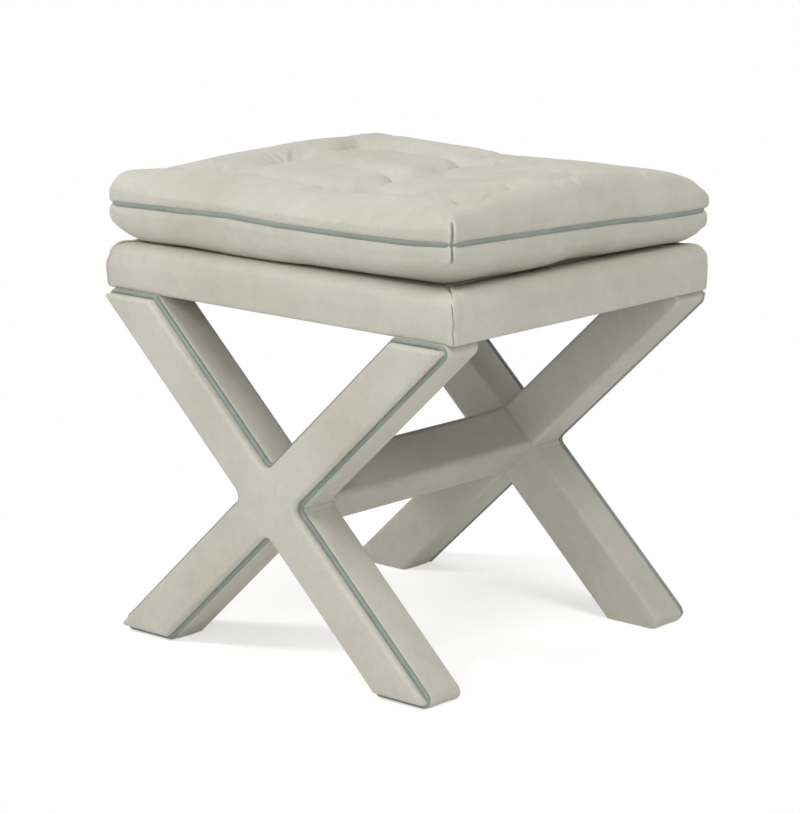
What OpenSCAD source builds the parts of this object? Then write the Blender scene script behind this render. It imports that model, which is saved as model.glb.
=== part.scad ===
/* [Deck] */
// Width of the padded deck across its leather sides
deck_w = 508; // [440:4:600]
// Depth of the padded deck from front to back
deck_d = 440; // [380:4:520]
// Height of the deck's leather box
deck_h = 52; // [48:1:76]
// Radius of the deck's upright corners
deck_corner_r = 10; // [6:1:16]
// Radius of the deck's top edges
deck_edge_r = 12; // [8:1:13]
// Felt between the deck's sides and its timber rails
deck_side_pad_t = 4; // [2:0.5:6]
// Foam on top of the deck's board
deck_top_pad_t = 6; // [3:0.5:8]
// How far the side panels wrap onto the top of the deck
side_seam_in = 9; // [6:1:20]

/* [Deck frame] */
// Thickness of the four rails
rail_t = 18; // [15:1:22]
// Thickness of the plywood board that closes the deck
board_t = 12; // [9:1:15]
// Width of the cleats that the legs are bolted to
cleat_w = 40; // [32:1:60]

/* [Crossed legs] */
// Height of the underside of the deck above the floor
base_h = 393; // [330:1:440]
// Thickness of a leg across its leather, both ways
leg_t = 56; // [50:1:62]
// How far the leg tops would reach past the deck's sides if their tips weren't rounded
leg_top_out = 5; // [0:1:8]
// How far the tips of the feet stay inside the deck's sides
foot_in = 15; // [8:1:50]
// How far the leg frames stand out from the deck's front and back
leg_proud = 10; // [4:1:14]
// Wadding between the leather and the timber of the legs
leg_wad_t = 3; // [2:0.5:4]
// Radius of the four notches where the legs cross
notch_r = 9; // [4:1:14]
// Radius of the pointed corners of the leg ends
tip_r = 7; // [3:1:9]
// Radius of the blunt corners of the leg ends
heel_r = 4; // [2:0.5:6]

/* [Leather] */
// Thickness of the leather
leather_t = 2; // [1.5:0.1:2.4]
// Diameter of the welts that edge the leg frames
leg_welt_d = 6; // [5:0.5:8]
// How far the leg welts stand out from the sides of the legs
leg_welt_proud = 1; // [0:0.25:2]
// Diameter of the welt round the cushion
cushion_welt_d = 7; // [6:0.5:10]

/* [Cushion] */
// How far the cushion's welt stays inside the deck's left and right sides
cushion_side_in = 5; // [2:1:14]
// How far the cushion's welt stays inside the deck's front and back
cushion_front_in = 1; // [0:1:12]
// Height of the cushion's welt above the deck
cushion_low_h = 42; // [34:1:50]
// Height from the welt to where the cushion's sides turn over into its top
cushion_wall_h = 22; // [18:1:30]
// Rise of the rounded edge from there to the middle of each side of the top
cushion_edge_rise = 18; // [15:1:24]
// How much lower the top's corners are than the middle of its sides
cushion_corner_drop = 12; // [0:1:13]
// Rise of the crown in the middle of the cushion
cushion_crown = 16; // [8:1:28]
// Width of the rolled edge between the cushion's underside and its welt
cushion_roll = 34; // [20:1:44]
// How far the cushion's sides draw in between its corners
cushion_draw = 5; // [0:1:12]
// Distance from one tuft to the next, side to side
tuft_pitch_x = 180; // [150:1:190]
// Distance from one tuft to the next, front to back
tuft_pitch_y = 120; // [100:1:144]
// Depth of each tuft below the crown
tuft_depth = 18; // [6:1:22]
// Breadth of each tuft's hollow
tuft_w = 34; // [18:1:42]

/* [Fixings] */
// Diameter of the bolts through the crossings
cross_bolt_d = 10; // [8:1:12]
// Diameter of the hanger bolts in the leg tops
hanger_d = 6; // [5:1:8]
// Diameter of the wooden dowels
dowel_d = 8; // [6:1:10]
// Diameter of the screws through the board
screw_d = 4; // [3:0.5:5]
// Thickness of the glides under the feet
glide_t = 1.5; // [1:0.5:5]
// Diameter of the glides under the feet
glide_d = 26; // [18:1:34]

/* [Hidden] */

// Colours
bone = [0.80, 0.79, 0.74];
sage = [0.64, 0.67, 0.63];
timber = [0.79, 0.63, 0.42];
ply = [0.84, 0.72, 0.52];
wadding_white = [0.93, 0.92, 0.88];
foam_cream = [0.95, 0.90, 0.72];
cloth_black = [0.10, 0.10, 0.11];
steel = [0.66, 0.67, 0.69];
felt_grey = [0.35, 0.34, 0.33];

// Overruns and clearances
over = 1;
bore_gap = 0.2;
soft_gap = 0.4;

// Smoothness of curves
round_fn = 12;
twine_fn = 8;
arc_steps = 3;
tube_sides = 8;

// Crossed legs, front and back alike, outwards from the middle of the stool
leg_out_y = deck_d / 2 + leg_proud;
leg_in_y = leg_out_y - leg_t;
leg_mid_y = (leg_out_y + leg_in_y) / 2;
skin_t = leather_t + leg_wad_t;
foot_z = glide_t;
bar_foot_z = foot_z + leather_t;
bar_top_z = base_h - leather_t;
leg_run = base_h - foot_z;
top_spread = deck_w + 2 * leg_top_out;
foot_spread = deck_w - 2 * foot_in;
mean_spread = (top_spread + foot_spread) / 2;
// The level cut across a leg, from its thickness and the two spreads
leg_cut = leg_t * (leg_run * sqrt(mean_spread ^ 2 + leg_run ^ 2 - leg_t ^ 2) - leg_t * mean_spread)
    / (leg_run ^ 2 - leg_t ^ 2);
leg_slope = (mean_spread - leg_cut) / leg_run;
leg_angle = atan(1 / leg_slope);
top_x = (top_spread - leg_cut) / 2;
foot_x = (foot_spread - leg_cut) / 2;
cross_z = foot_z + foot_x / leg_slope;
bar_half = leg_t / 2 - skin_t;
bar_half_cut = bar_half / sin(leg_angle);

// Welts of the leg frames
leg_welt_in = leg_welt_d / 2 - leg_welt_proud;
leg_welt_setback = 1;
leg_welt_y = leg_out_y - leg_welt_d / 2 - leg_welt_setback;
wrap_out_y = leg_welt_y - leg_welt_d / 2;
panel_in = leg_welt_in + leg_welt_d / 2;

// Timber of the legs: its outer face lies behind the welt
bar_in_y = leg_in_y + skin_t;
bar_out_y = wrap_out_y;
bar_mid_y = (bar_in_y + bar_out_y) / 2;

// Bolts and dowels at the crossings
cross_head_d = 2 * cross_bolt_d * 0.9;
cross_head_h = 0.65 * cross_bolt_d;
cross_washer_d = 2.3 * cross_bolt_d;
cross_washer_t = 0.2 * cross_bolt_d;
cross_sink = cross_head_h + cross_washer_t + over;
cross_bolt_end_y = bar_in_y - 6 * cross_bolt_d;
stretcher_dowel_share = 0.56;
stretcher_dowel_x = stretcher_dowel_share * bar_half_cut;
stretcher_dowel_in = 2.5 * dowel_d;
stretcher_dowel_out = 1.8 * dowel_d;

// Deck, from the outside in
deck_top_z = base_h + deck_h;
frame_in = leather_t + deck_side_pad_t;
frame_w = deck_w - 2 * frame_in;
frame_d = deck_d - 2 * frame_in;
rail_z = base_h + leather_t;
board_top_z = deck_top_z - leather_t - deck_top_pad_t;
rail_top_z = board_top_z - board_t;
rail_in_x = frame_w / 2 - rail_t;
rail_in_y = frame_d / 2 - rail_t;
rail_mid_y = frame_d / 2 - rail_t / 2;
rail_mid_x = frame_w / 2 - rail_t / 2;
cleat_share = 0.56;
cleat_t = cleat_share * (rail_top_z - base_h);

// Hanger bolts, washers and nuts at the leg tops
hanger_washer_d = 2.3 * hanger_d;
hanger_washer_t = 0.25 * hanger_d;
hanger_nut_d = 1.9 * hanger_d;
hanger_nut_h = 0.85 * hanger_d;
hanger_y = rail_in_y - hanger_washer_d / 2 - over;
hanger_deep = 5 * hanger_d;
hanger_top_z = base_h + cleat_t + hanger_washer_t + hanger_nut_h + over;
hanger_shares = [0.78, 0.3];
glue_gap = 1.2;
glue_block_w = rail_in_x + rail_in_y - hanger_y - (top_x - hanger_shares[1] * bar_half_cut)
    - sqrt(2) * (hanger_washer_d / 2 + glue_gap);
leg_dowel_share = 0.1;
leg_dowel_x = top_x - leg_dowel_share * bar_half_cut;
leg_dowel_deep = 2.5 * dowel_d;
leg_dowel_up = 2.2 * dowel_d;

// Screws through the board
screw_head_d = 2 * screw_d;
screw_bite_share = 0.75;
screw_len = board_t + screw_bite_share * (rail_top_z - rail_z);
screw_shares = [-0.62, 0.62];

// Glides
glide_nail_d = 2.5;
glide_nail_l = 16;

// Dust cover and its staples
dust_t = 0.8;
dust_z = base_h - dust_t;
dust_lap = 9;
dust_clear = 2;
staple_w = 12;
staple_t = 0.9;
staple_leg = 7;
staple_pitch = 50;

// Cushion
cushion_hx = deck_w / 2 - cushion_side_in;
cushion_hy = deck_d / 2 - cushion_front_in;
welt_z = deck_top_z + cushion_low_h;
cushion_welt_r = cushion_welt_d / 2;
low_rim_z = welt_z - cushion_welt_r;
high_rim_z = welt_z + cushion_welt_r;
wall_top_z = welt_z + cushion_wall_h;
edge_z = wall_top_z + cushion_edge_rise;
wall_lean = 2;
edge_in = 18;
shoulder_in = 7;
roll_in_shares = [1, 0.55, 0.2, 0.05, 0];
roll_up_shares = [0, 0.08, 0.3, 0.62, 1];
corner_drop_power = 4;
corner_share = 0.035;
corner_power = 10;
shoulder_share = 0.7;
near_tuft = 18;
by_tuft = 45;
outer_share = 0.5;
rim_columns = 12;
tie_d = 2;
tie_knot_d = 6;
tie_knot_t = 1.5;
last_line = 12;

// Corner i of an outline, rounded to its radius by a short arc of points
function rounded_corner(p, i, radii) =
    let (n = len(p),
         a = p[(i + n - 1) % n] - p[i],
         b = p[(i + 1) % n] - p[i],
         ua = a / norm(a),
         ub = b / norm(b),
         half = acos(ua * ub) / 2,
         m = (ua + ub) / norm(ua + ub),
         c = p[i] + m * radii[i] / sin(half),
         pa = p[i] + ua * radii[i] / tan(half) - c,
         pb = p[i] + ub * radii[i] / tan(half) - c,
         turn = 2 * asin(norm(pb - pa) / 2 / radii[i]))
    [for (k = [0:arc_steps])
        let (s = k / arc_steps)
        c + (pa * sin((1 - s) * turn) + pb * sin(s * turn)) / sin(turn)];

function rounded(p, radii) = [for (i = [0:len(p) - 1]) each rounded_corner(p, i, radii)];

// Outline of a frame of crossed legs, seen from the front, with its sides drawn in by inset
function x_corners(inset, z_low, z_high) =
    let (h = leg_t / 2 - inset,
         hx = h / sin(leg_angle),
         hz = h / cos(leg_angle),
         top = (z_high - cross_z) * leg_slope,
         foot = (cross_z - z_low) * leg_slope)
    [[top + hx, z_high], [top - hx, z_high], [0, cross_z + hz],
     [hx - top, z_high], [-top - hx, z_high], [-hx, cross_z],
     [-foot - hx, z_low], [hx - foot, z_low], [0, cross_z - hz],
     [foot - hx, z_low], [foot + hx, z_low], [hx, cross_z]];

function x_radii(inset) =
    let (notch = notch_r + inset,
         tip = max(tip_r - inset, over),
         heel = max(heel_r - inset, over))
    [tip, heel, notch, heel, tip, notch, tip, heel, notch, heel, tip, notch];

function x_outline(inset, z_low, z_high) =
    rounded(x_corners(inset, z_low, z_high), x_radii(inset));

// Outline of the face inside the welt
function face_outline() = x_outline(panel_in, foot_z + leg_welt_d, base_h - leg_welt_d);

// The lozenge where two legs cross, which is also the section of the stretcher
function lozenge(inset) =
    let (h = leg_t / 2 - inset)
    [[h / sin(leg_angle), cross_z], [0, cross_z + h / cos(leg_angle)],
     [-h / sin(leg_angle), cross_z], [0, cross_z - h / cos(leg_angle)]];

// A shape drawn in X and Z, made solid from y0 to y1
module slab(y0, y1) {
    translate([0, y1, 0])
        rotate([90, 0, 0])
            linear_extrude(height = y1 - y0)
                children();
}

module y_rod(d, y0, y1) {
    translate([0, y1, 0])
        rotate([90, 0, 0])
            cylinder(d = d, h = y1 - y0, $fn = round_fn);
}

module at_leg_ends_x(x) {
    for (side = [-1, 1])
        translate([side * x, 0, 0])
            children();
}

module front_and_back() {
    children();
    mirror([0, 1, 0])
        children();
}

// Holes in the legs and the deck for what joins them
module leg_top_holes() {
    for (share = hanger_shares)
        at_leg_ends_x(top_x - share * bar_half_cut)
            translate([0, hanger_y, base_h - hanger_deep - bore_gap])
                cylinder(d = hanger_d + bore_gap, h = hanger_deep + cleat_t + over, $fn = round_fn);
    at_leg_ends_x(leg_dowel_x)
        translate([0, rail_mid_y, base_h - leg_dowel_deep - bore_gap])
            cylinder(d = dowel_d + bore_gap, h = leg_dowel_deep + leg_dowel_up + 2 * bore_gap, $fn = round_fn);
}

module foot_holes() {
    at_leg_ends_x(foot_x)
        translate([0, leg_mid_y, 0])
            cylinder(d = glide_nail_d + bore_gap, h = glide_t + glide_nail_l + bore_gap, $fn = round_fn);
}

module crossing_holes() {
    translate([0, 0, cross_z]) {
        y_rod(cross_bolt_d + bore_gap, cross_bolt_end_y - bore_gap, leg_out_y);
        y_rod(cross_washer_d + bore_gap, bar_out_y - cross_sink, leg_out_y);
    }
    at_leg_ends_x(stretcher_dowel_x)
        translate([0, 0, cross_z])
            y_rod(dowel_d + bore_gap, bar_in_y - stretcher_dowel_in - bore_gap,
                bar_in_y + stretcher_dowel_out + bore_gap);
}

// Timber leg bars, halved over each other where they cross
module bar_face(half) {
    hx = half / sin(leg_angle);
    top = (bar_top_z - cross_z) * leg_slope;
    foot = (cross_z - bar_foot_z) * leg_slope;
    polygon(rounded([[top + hx, bar_top_z], [top - hx, bar_top_z], [-foot - hx, bar_foot_z], [hx - foot, bar_foot_z]],
        [tip_r, heel_r, tip_r, heel_r]));
}

module leg_bar(direction, lap_y0, lap_y1) {
    color(timber)
        difference() {
            mirror([direction < 0 ? 1 : 0, 0, 0])
                slab(bar_in_y, bar_out_y)
                    bar_face(bar_half);
            mirror([direction < 0 ? 0 : 1, 0, 0])
                slab(lap_y0, lap_y1)
                    bar_face(bar_half);
            crossing_holes();
            leg_top_holes();
            foot_holes();
        }
}

module rising_bar() { leg_bar(1, bar_in_y - over, bar_mid_y); }
module falling_bar() { leg_bar(-1, bar_mid_y, bar_out_y + over); }

module back_leg_bar_rising() { rising_bar(); }
module back_leg_bar_falling() { falling_bar(); }
module front_leg_bar_rising() { mirror([0, 1, 0]) rising_bar(); }
module front_leg_bar_falling() { mirror([0, 1, 0]) falling_bar(); }

// Wadding round the bars, open at the leg ends and where the stretcher meets them
module leg_wadding() {
    color(wadding_white)
        difference() {
            slab(leg_in_y + leather_t, wrap_out_y)
                polygon(x_outline(leather_t, bar_foot_z, bar_top_z));
            slab(bar_in_y, leg_out_y)
                polygon(x_corners(skin_t, bar_foot_z - over, bar_top_z + over));
            slab(leg_in_y - over, bar_in_y + over)
                polygon(lozenge(skin_t));
        }
}

// Padding over the outer face of a leg frame, inside its welt
module leg_face_pad() {
    color(wadding_white)
        slab(bar_out_y, leg_out_y - leather_t)
            polygon(face_outline());
}

module back_leg_face_pad() { leg_face_pad(); }
module front_leg_face_pad() { mirror([0, 1, 0]) leg_face_pad(); }

module back_leg_wadding() { leg_wadding(); }
module front_leg_wadding() { mirror([0, 1, 0]) leg_wadding(); }

// Leather round one leg from its notches to its end: two sides, the inner face and the end
module leg_wrap(side, end) {
    reach = deck_w;
    color(bone)
        intersection() {
            difference() {
                slab(leg_in_y, wrap_out_y)
                    polygon(x_outline(0, foot_z, base_h));
                slab(leg_in_y + leather_t, leg_out_y)
                    polygon(x_outline(leather_t, bar_foot_z, bar_top_z));
                slab(leg_in_y - over, leg_out_y)
                    polygon(lozenge(0));
                leg_top_holes();
                foot_holes();
            }
            translate([side < 0 ? -reach : 0, 0, end < 0 ? cross_z - reach : cross_z])
                cube([reach, deck_d, reach]);
        }
}

module back_wrap_top_left() { leg_wrap(-1, 1); }
module back_wrap_top_right() { leg_wrap(1, 1); }
module back_wrap_foot_left() { leg_wrap(-1, -1); }
module back_wrap_foot_right() { leg_wrap(1, -1); }
module front_wrap_top_left() { mirror([0, 1, 0]) leg_wrap(-1, 1); }
module front_wrap_top_right() { mirror([0, 1, 0]) leg_wrap(1, 1); }
module front_wrap_foot_left() { mirror([0, 1, 0]) leg_wrap(-1, -1); }
module front_wrap_foot_right() { mirror([0, 1, 0]) leg_wrap(1, -1); }

// The flat leather face of a leg frame, inside its welt
module leg_panel() {
    color(bone)
        slab(leg_out_y - leather_t, leg_out_y)
            polygon(face_outline());
}

module back_leg_panel() { leg_panel(); }
module front_leg_panel() { mirror([0, 1, 0]) leg_panel(); }

// Triangles of a grid of points that closes on itself round its columns, and on its rows if looped
function band_faces(rows, columns, looped) =
    [for (r = [0:rows - (looped ? 1 : 2)], c = [0:columns - 1])
        let (r2 = (r + 1) % rows,
             c2 = (c + 1) % columns,
             p = r * columns + c,
             q = r * columns + c2,
             s = r2 * columns + c2,
             t = r2 * columns + c)
        each [[p, q, s], [p, s, t]]];

// A cord of round section along a closed flat path, with up as the direction square to the path
module cord_loop(path, r, up) {
    n = len(path);
    rings = [for (i = [0:n - 1])
        let (before = path[(i + n - 1) % n],
             after = path[(i + 1) % n],
             along = (after - before) / norm(after - before),
             out = cross(along, up))
        each [for (k = [0:tube_sides - 1])
            let (a = 360 * (k + 0.5) / tube_sides)
            path[i] + r * (cos(a) * out + sin(a) * up)]];
    polyhedron(points = rings, faces = band_faces(n, tube_sides, true), convexity = 8);
}

module leg_welt() {
    path = x_outline(leg_welt_in, foot_z + leg_welt_d / 2, base_h - leg_welt_d / 2);
    color(sage)
        cord_loop([for (p = path) [p[0], leg_welt_y, p[1]]], leg_welt_d / 2, [0, -1, 0]);
}

module back_leg_welt() { leg_welt(); }
module front_leg_welt() { mirror([0, 1, 0]) leg_welt(); }

// The stretcher that ties the two crossings together
module stretcher_core() {
    color(timber)
        difference() {
            slab(-bar_in_y, bar_in_y)
                polygon(lozenge(skin_t));
            front_and_back()
                crossing_holes();
        }
}

module stretcher_wadding() {
    color(wadding_white)
        difference() {
            slab(-leg_in_y - leather_t, leg_in_y + leather_t)
                polygon(lozenge(leather_t));
            slab(-leg_out_y, leg_out_y)
                polygon(lozenge(skin_t));
        }
}

module stretcher_sleeve() {
    color(bone)
        difference() {
            slab(-leg_in_y - leather_t, leg_in_y + leather_t)
                polygon(lozenge(0));
            slab(-leg_out_y, leg_out_y)
                polygon(lozenge(leather_t));
        }
}

module crossing_bolts() {
    head_y = bar_out_y - cross_sink + cross_washer_t;
    color(steel)
        front_and_back()
            translate([0, 0, cross_z]) {
                y_rod(cross_bolt_d, cross_bolt_end_y, head_y);
                translate([0, head_y + cross_head_h, 0])
                    rotate([90, 0, 0])
                        cylinder(d = cross_head_d, h = cross_head_h, $fn = 6);
            }
}

module crossing_washers() {
    seat_y = bar_out_y - cross_sink;
    color(steel)
        front_and_back()
            translate([0, 0, cross_z])
                difference() {
                    y_rod(cross_washer_d, seat_y, seat_y + cross_washer_t);
                    y_rod(cross_bolt_d + bore_gap, seat_y - over, seat_y + cross_washer_t + over);
                }
}

module stretcher_dowels() {
    color(timber)
        front_and_back()
            at_leg_ends_x(stretcher_dowel_x)
                translate([0, 0, cross_z])
                    y_rod(dowel_d, bar_in_y - stretcher_dowel_in, bar_in_y + stretcher_dowel_out);
}

// Nail-on glides under the four feet
module foot_glides() {
    color(felt_grey)
        front_and_back()
            at_leg_ends_x(foot_x)
                translate([0, leg_mid_y, 0]) {
                    cylinder(d = glide_d, h = glide_t, $fn = round_fn);
                    cylinder(d = glide_nail_d, h = glide_t + glide_nail_l, $fn = round_fn);
                }
}

// Deck timber
module long_rail() {
    color(timber)
        difference() {
            translate([-frame_w / 2, rail_in_y, rail_z])
                cube([frame_w, rail_t, rail_top_z - rail_z]);
            leg_top_holes();
            board_screw_holes();
        }
}

module short_rail() {
    color(timber)
        difference() {
            translate([rail_in_x, -rail_in_y, rail_z])
                cube([rail_t, 2 * rail_in_y, rail_top_z - rail_z]);
            board_screw_holes();
        }
}

module deck_rail_back() { long_rail(); }
module deck_rail_front() { mirror([0, 1, 0]) long_rail(); }
module deck_rail_right() { short_rail(); }
module deck_rail_left() { mirror([1, 0, 0]) short_rail(); }

module deck_cleat() {
    color(timber)
        difference() {
            translate([-rail_in_x, rail_in_y - cleat_w, base_h])
                cube([2 * rail_in_x, cleat_w, cleat_t]);
            leg_top_holes();
        }
}

module deck_cleat_back() { deck_cleat(); }
module deck_cleat_front() { mirror([0, 1, 0]) deck_cleat(); }

module deck_glue_blocks() {
    z0 = base_h + cleat_t;
    color(timber)
        front_and_back()
            for (flip = [0, 1])
                mirror([flip, 0, 0])
                    translate([rail_in_x, rail_in_y, z0])
                        linear_extrude(height = rail_top_z - z0)
                            polygon([[0, 0], [-glue_block_w, 0], [0, -glue_block_w]]);
}

module at_board_screws() {
    for (share = screw_shares) {
        for (side = [-1, 1]) {
            translate([share * rail_in_x, side * rail_mid_y, board_top_z])
                children();
            translate([side * rail_mid_x, share * rail_in_y, board_top_z])
                children();
        }
    }
}

module screw_shape(extra) {
    head_h = screw_head_d / 2;
    translate([0, 0, -screw_len - extra])
        cylinder(d = screw_d + extra, h = screw_len + extra, $fn = round_fn);
    translate([0, 0, -head_h])
        cylinder(d1 = screw_d + extra, d2 = screw_head_d + extra, h = head_h, $fn = round_fn);
}

module board_screw_holes() {
    at_board_screws()
        screw_shape(bore_gap);
}

module board_screws() {
    color(steel)
        at_board_screws()
            screw_shape(0);
}

module deck_board() {
    color(ply)
        difference() {
            translate([-frame_w / 2, -frame_d / 2, rail_top_z])
                cube([frame_w, frame_d, board_t]);
            board_screw_holes();
        }
}

// A block with round upright corners and round top edges
function block_outline(w, d, r) =
    rounded([[w / 2, -d / 2], [w / 2, d / 2], [-w / 2, d / 2], [-w / 2, -d / 2]], [r, r, r, r]);

function arch_outline(w, z0, z1, r) =
    concat([[w / 2, z0]],
        rounded_corner([[w / 2, z0], [w / 2, z1], [-w / 2, z1], [-w / 2, z0]], 1, [r, r, r, r]),
        rounded_corner([[w / 2, z0], [w / 2, z1], [-w / 2, z1], [-w / 2, z0]], 2, [r, r, r, r]),
        [[-w / 2, z0]]);

module soft_block(inset, z0, z1) {
    w = deck_w - 2 * inset;
    d = deck_d - 2 * inset;
    corner_r = deck_corner_r - inset;
    edge_r = deck_edge_r - inset;
    intersection() {
        translate([0, 0, z0])
            linear_extrude(height = z1 - z0)
                polygon(block_outline(w, d, corner_r));
        slab(-d / 2, d / 2)
            polygon(arch_outline(w, z0, z1, edge_r));
        rotate([0, 0, 90])
            slab(-w / 2, w / 2)
                polygon(arch_outline(d, z0, z1, edge_r));
    }
}

module deck_pad() {
    color(wadding_white)
        difference() {
            soft_block(leather_t, rail_z, deck_top_z - leather_t);
            translate([-frame_w / 2, -frame_d / 2, rail_z - over])
                cube([frame_w, frame_d, board_top_z - rail_z + over]);
        }
}

// The deck's leather, turned under the rails and open inside them
module deck_skin() {
    difference() {
        soft_block(0, base_h, deck_top_z);
        soft_block(leather_t, rail_z, deck_top_z - leather_t);
        translate([-rail_in_x, -rail_in_y, base_h - over])
            cube([2 * rail_in_x, 2 * rail_in_y, leather_t + 2 * over]);
        front_and_back()
            leg_top_holes();
    }
}

module deck_cover() {
    main_w = deck_w - 2 * side_seam_in;
    color(bone)
        intersection() {
            deck_skin();
            translate([-main_w / 2, -deck_d / 2, base_h])
                cube([main_w, deck_d, deck_h]);
        }
}

module side_skin() {
    color(bone)
        intersection() {
            deck_skin();
            translate([deck_w / 2 - side_seam_in, -deck_d / 2, base_h])
                cube([side_seam_in, deck_d, deck_h]);
        }
}

module deck_side_panel_right() { side_skin(); }
module deck_side_panel_left() { mirror([1, 0, 0]) side_skin(); }

// Black cloth under the deck, cut round the leg tops
module dust_cover() {
    half_x = rail_in_x + dust_lap;
    half_y = rail_in_y + dust_lap;
    notch_x = top_x - leg_cut / 2 - dust_clear;
    notch_y = leg_in_y - dust_clear;
    color(cloth_black)
        translate([0, 0, dust_z])
            linear_extrude(height = dust_t)
                polygon([[half_x, -notch_y], [half_x, notch_y], [notch_x, notch_y], [notch_x, half_y],
                    [-notch_x, half_y], [-notch_x, notch_y], [-half_x, notch_y], [-half_x, -notch_y],
                    [-notch_x, -notch_y], [-notch_x, -half_y], [notch_x, -half_y], [notch_x, -notch_y]]);
}

module staple() {
    half = staple_w / 2;
    z0 = dust_z - staple_t;
    slab(-staple_t / 2, staple_t / 2)
        polygon([[-half, z0], [half, z0], [half, z0 + staple_leg], [half - staple_t, z0 + staple_leg],
            [half - staple_t, dust_z], [staple_t - half, dust_z],
            [staple_t - half, z0 + staple_leg], [-half, z0 + staple_leg]]);
}

module staples() {
    reach_x = top_x - leg_cut / 2 - staple_w;
    reach_y = leg_in_y - staple_w;
    count_x = floor(reach_x / staple_pitch);
    count_y = floor(reach_y / staple_pitch);
    lap = dust_lap / 2;
    color(steel) {
        for (k = [-count_x:count_x], side = [-1, 1])
            translate([k * staple_pitch, side * (rail_in_y + lap), 0])
                staple();
        for (k = [-count_y:count_y], side = [-1, 1])
            translate([side * (rail_in_x + lap), k * staple_pitch, 0])
                rotate([0, 0, 90])
                    staple();
    }
}

// What joins the leg tops to the deck
module at_hangers() {
    front_and_back()
        for (share = hanger_shares)
            at_leg_ends_x(top_x - share * bar_half_cut)
                translate([0, hanger_y, 0])
                    children();
}

module hanger_bolts() {
    color(steel)
        at_hangers()
            translate([0, 0, base_h - hanger_deep])
                cylinder(d = hanger_d, h = hanger_top_z - base_h + hanger_deep, $fn = round_fn);
}

module hanger_washers() {
    color(steel)
        at_hangers()
            translate([0, 0, base_h + cleat_t])
                difference() {
                    cylinder(d = hanger_washer_d, h = hanger_washer_t, $fn = round_fn);
                    translate([0, 0, -over])
                        cylinder(d = hanger_d + bore_gap, h = hanger_washer_t + 2 * over, $fn = round_fn);
                }
}

module hanger_nuts() {
    color(steel)
        at_hangers()
            translate([0, 0, base_h + cleat_t + hanger_washer_t])
                difference() {
                    cylinder(d = hanger_nut_d, h = hanger_nut_h, $fn = 6);
                    translate([0, 0, -over])
                        cylinder(d = hanger_d + bore_gap, h = hanger_nut_h + 2 * over, $fn = round_fn);
                }
}

module leg_dowels() {
    color(timber)
        front_and_back()
            at_leg_ends_x(leg_dowel_x)
                translate([0, rail_mid_y, base_h - leg_dowel_deep])
                    cylinder(d = dowel_d, h = leg_dowel_deep + leg_dowel_up, $fn = round_fn);
}

// Grid lines across the cushion's top: close beside each tuft, then over the edge and down the side
function line_at(k, half, pitch) =
    let (edge = half - edge_in,
         places = [0, near_tuft, by_tuft, pitch / 2, pitch - by_tuft, pitch - near_tuft, pitch,
             pitch + near_tuft, pitch + near_tuft + outer_share * (edge - pitch - near_tuft), edge,
             half - shoulder_in, half - wall_lean, half])
    sign(k) * places[abs(k)];

// Sides drawn in between the corners, and the corners rounded off
function drawn_in(x, y, hx, hy) =
    let (u = x / hx,
         v = y / hy,
         corner = 1 - corner_share * abs(u * v) ^ corner_power)
    [x * (1 - cushion_draw / hx * u ^ 2 * (1 - v ^ 2)) * corner,
     y * (1 - cushion_draw / hy * v ^ 2 * (1 - u ^ 2)) * corner];

// Hollows of the tufts at a point of the top
function tuft_hollow(x, y) =
    let (dx = min([for (k = [-1:1]) abs(x - k * tuft_pitch_x)]),
         dy = min([for (k = [-1:1]) abs(y - k * tuft_pitch_y)]))
    tuft_depth * exp(-(dx ^ 2 + dy ^ 2) / tuft_w ^ 2);

function crown_z(x, y) =
    let (u = x / cushion_hx,
         v = y / cushion_hy)
    edge_z + cushion_crown * (1 - u ^ 2) * (1 - v ^ 2) - cushion_corner_drop * (u * v) ^ corner_drop_power
        - tuft_hollow(x, y);

// A point of the top casing, or of its inner face when skin is its thickness
function casing_point(i, j, skin) =
    let (x = line_at(i, cushion_hx, tuft_pitch_x),
         y = line_at(j, cushion_hy, tuft_pitch_y),
         ring = max(abs(i), abs(j)),
         top = crown_z(x, y),
         z = ring == last_line ? high_rim_z
            : ring == last_line - 1 ? wall_top_z - skin
            : ring == last_line - 2 ? wall_top_z + shoulder_share * (top - wall_top_z) - skin
            : top - skin,
         p = drawn_in(x, y, cushion_hx, cushion_hy))
    [p[0] * (1 - skin / cushion_hx), p[1] * (1 - skin / cushion_hy), z];

function grid_points(n, skin) = [for (j = [-n:n], i = [-n:n]) casing_point(i, j, skin)];

function grid_faces(n, start, flipped) =
    let (row = 2 * n + 1)
    [for (j = [0:row - 2], i = [0:row - 2])
        let (a = start + j * row + i,
             b = a + 1,
             c = a + row + 1,
             d = a + row)
        each flipped ? [[a, b, c], [a, c, d]] : [[a, c, b], [a, d, c]]];

// Numbers of the points round the edge of a grid
function grid_edge(n) =
    let (row = 2 * n + 1)
    concat([for (i = [0:row - 2]) i],
        [for (j = [0:row - 2]) j * row + row - 1],
        [for (i = [row - 1:-1:1]) (row - 1) * row + i],
        [for (j = [row - 1:-1:1]) j * row]);

module cushion_top_casing() {
    outer = grid_points(last_line, 0);
    inner = grid_points(last_line, leather_t);
    edge = grid_edge(last_line);
    n = len(edge);
    rim = [for (k = [0:n - 1])
        let (a = edge[k],
             b = edge[(k + 1) % n],
             s = len(outer))
        each [[a, b, b + s], [a, b + s, a + s]]];
    color(bone)
        polyhedron(points = concat(outer, inner),
            faces = concat(grid_faces(last_line, 0, false), grid_faces(last_line, len(outer), true), rim),
            convexity = 6);
}

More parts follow.
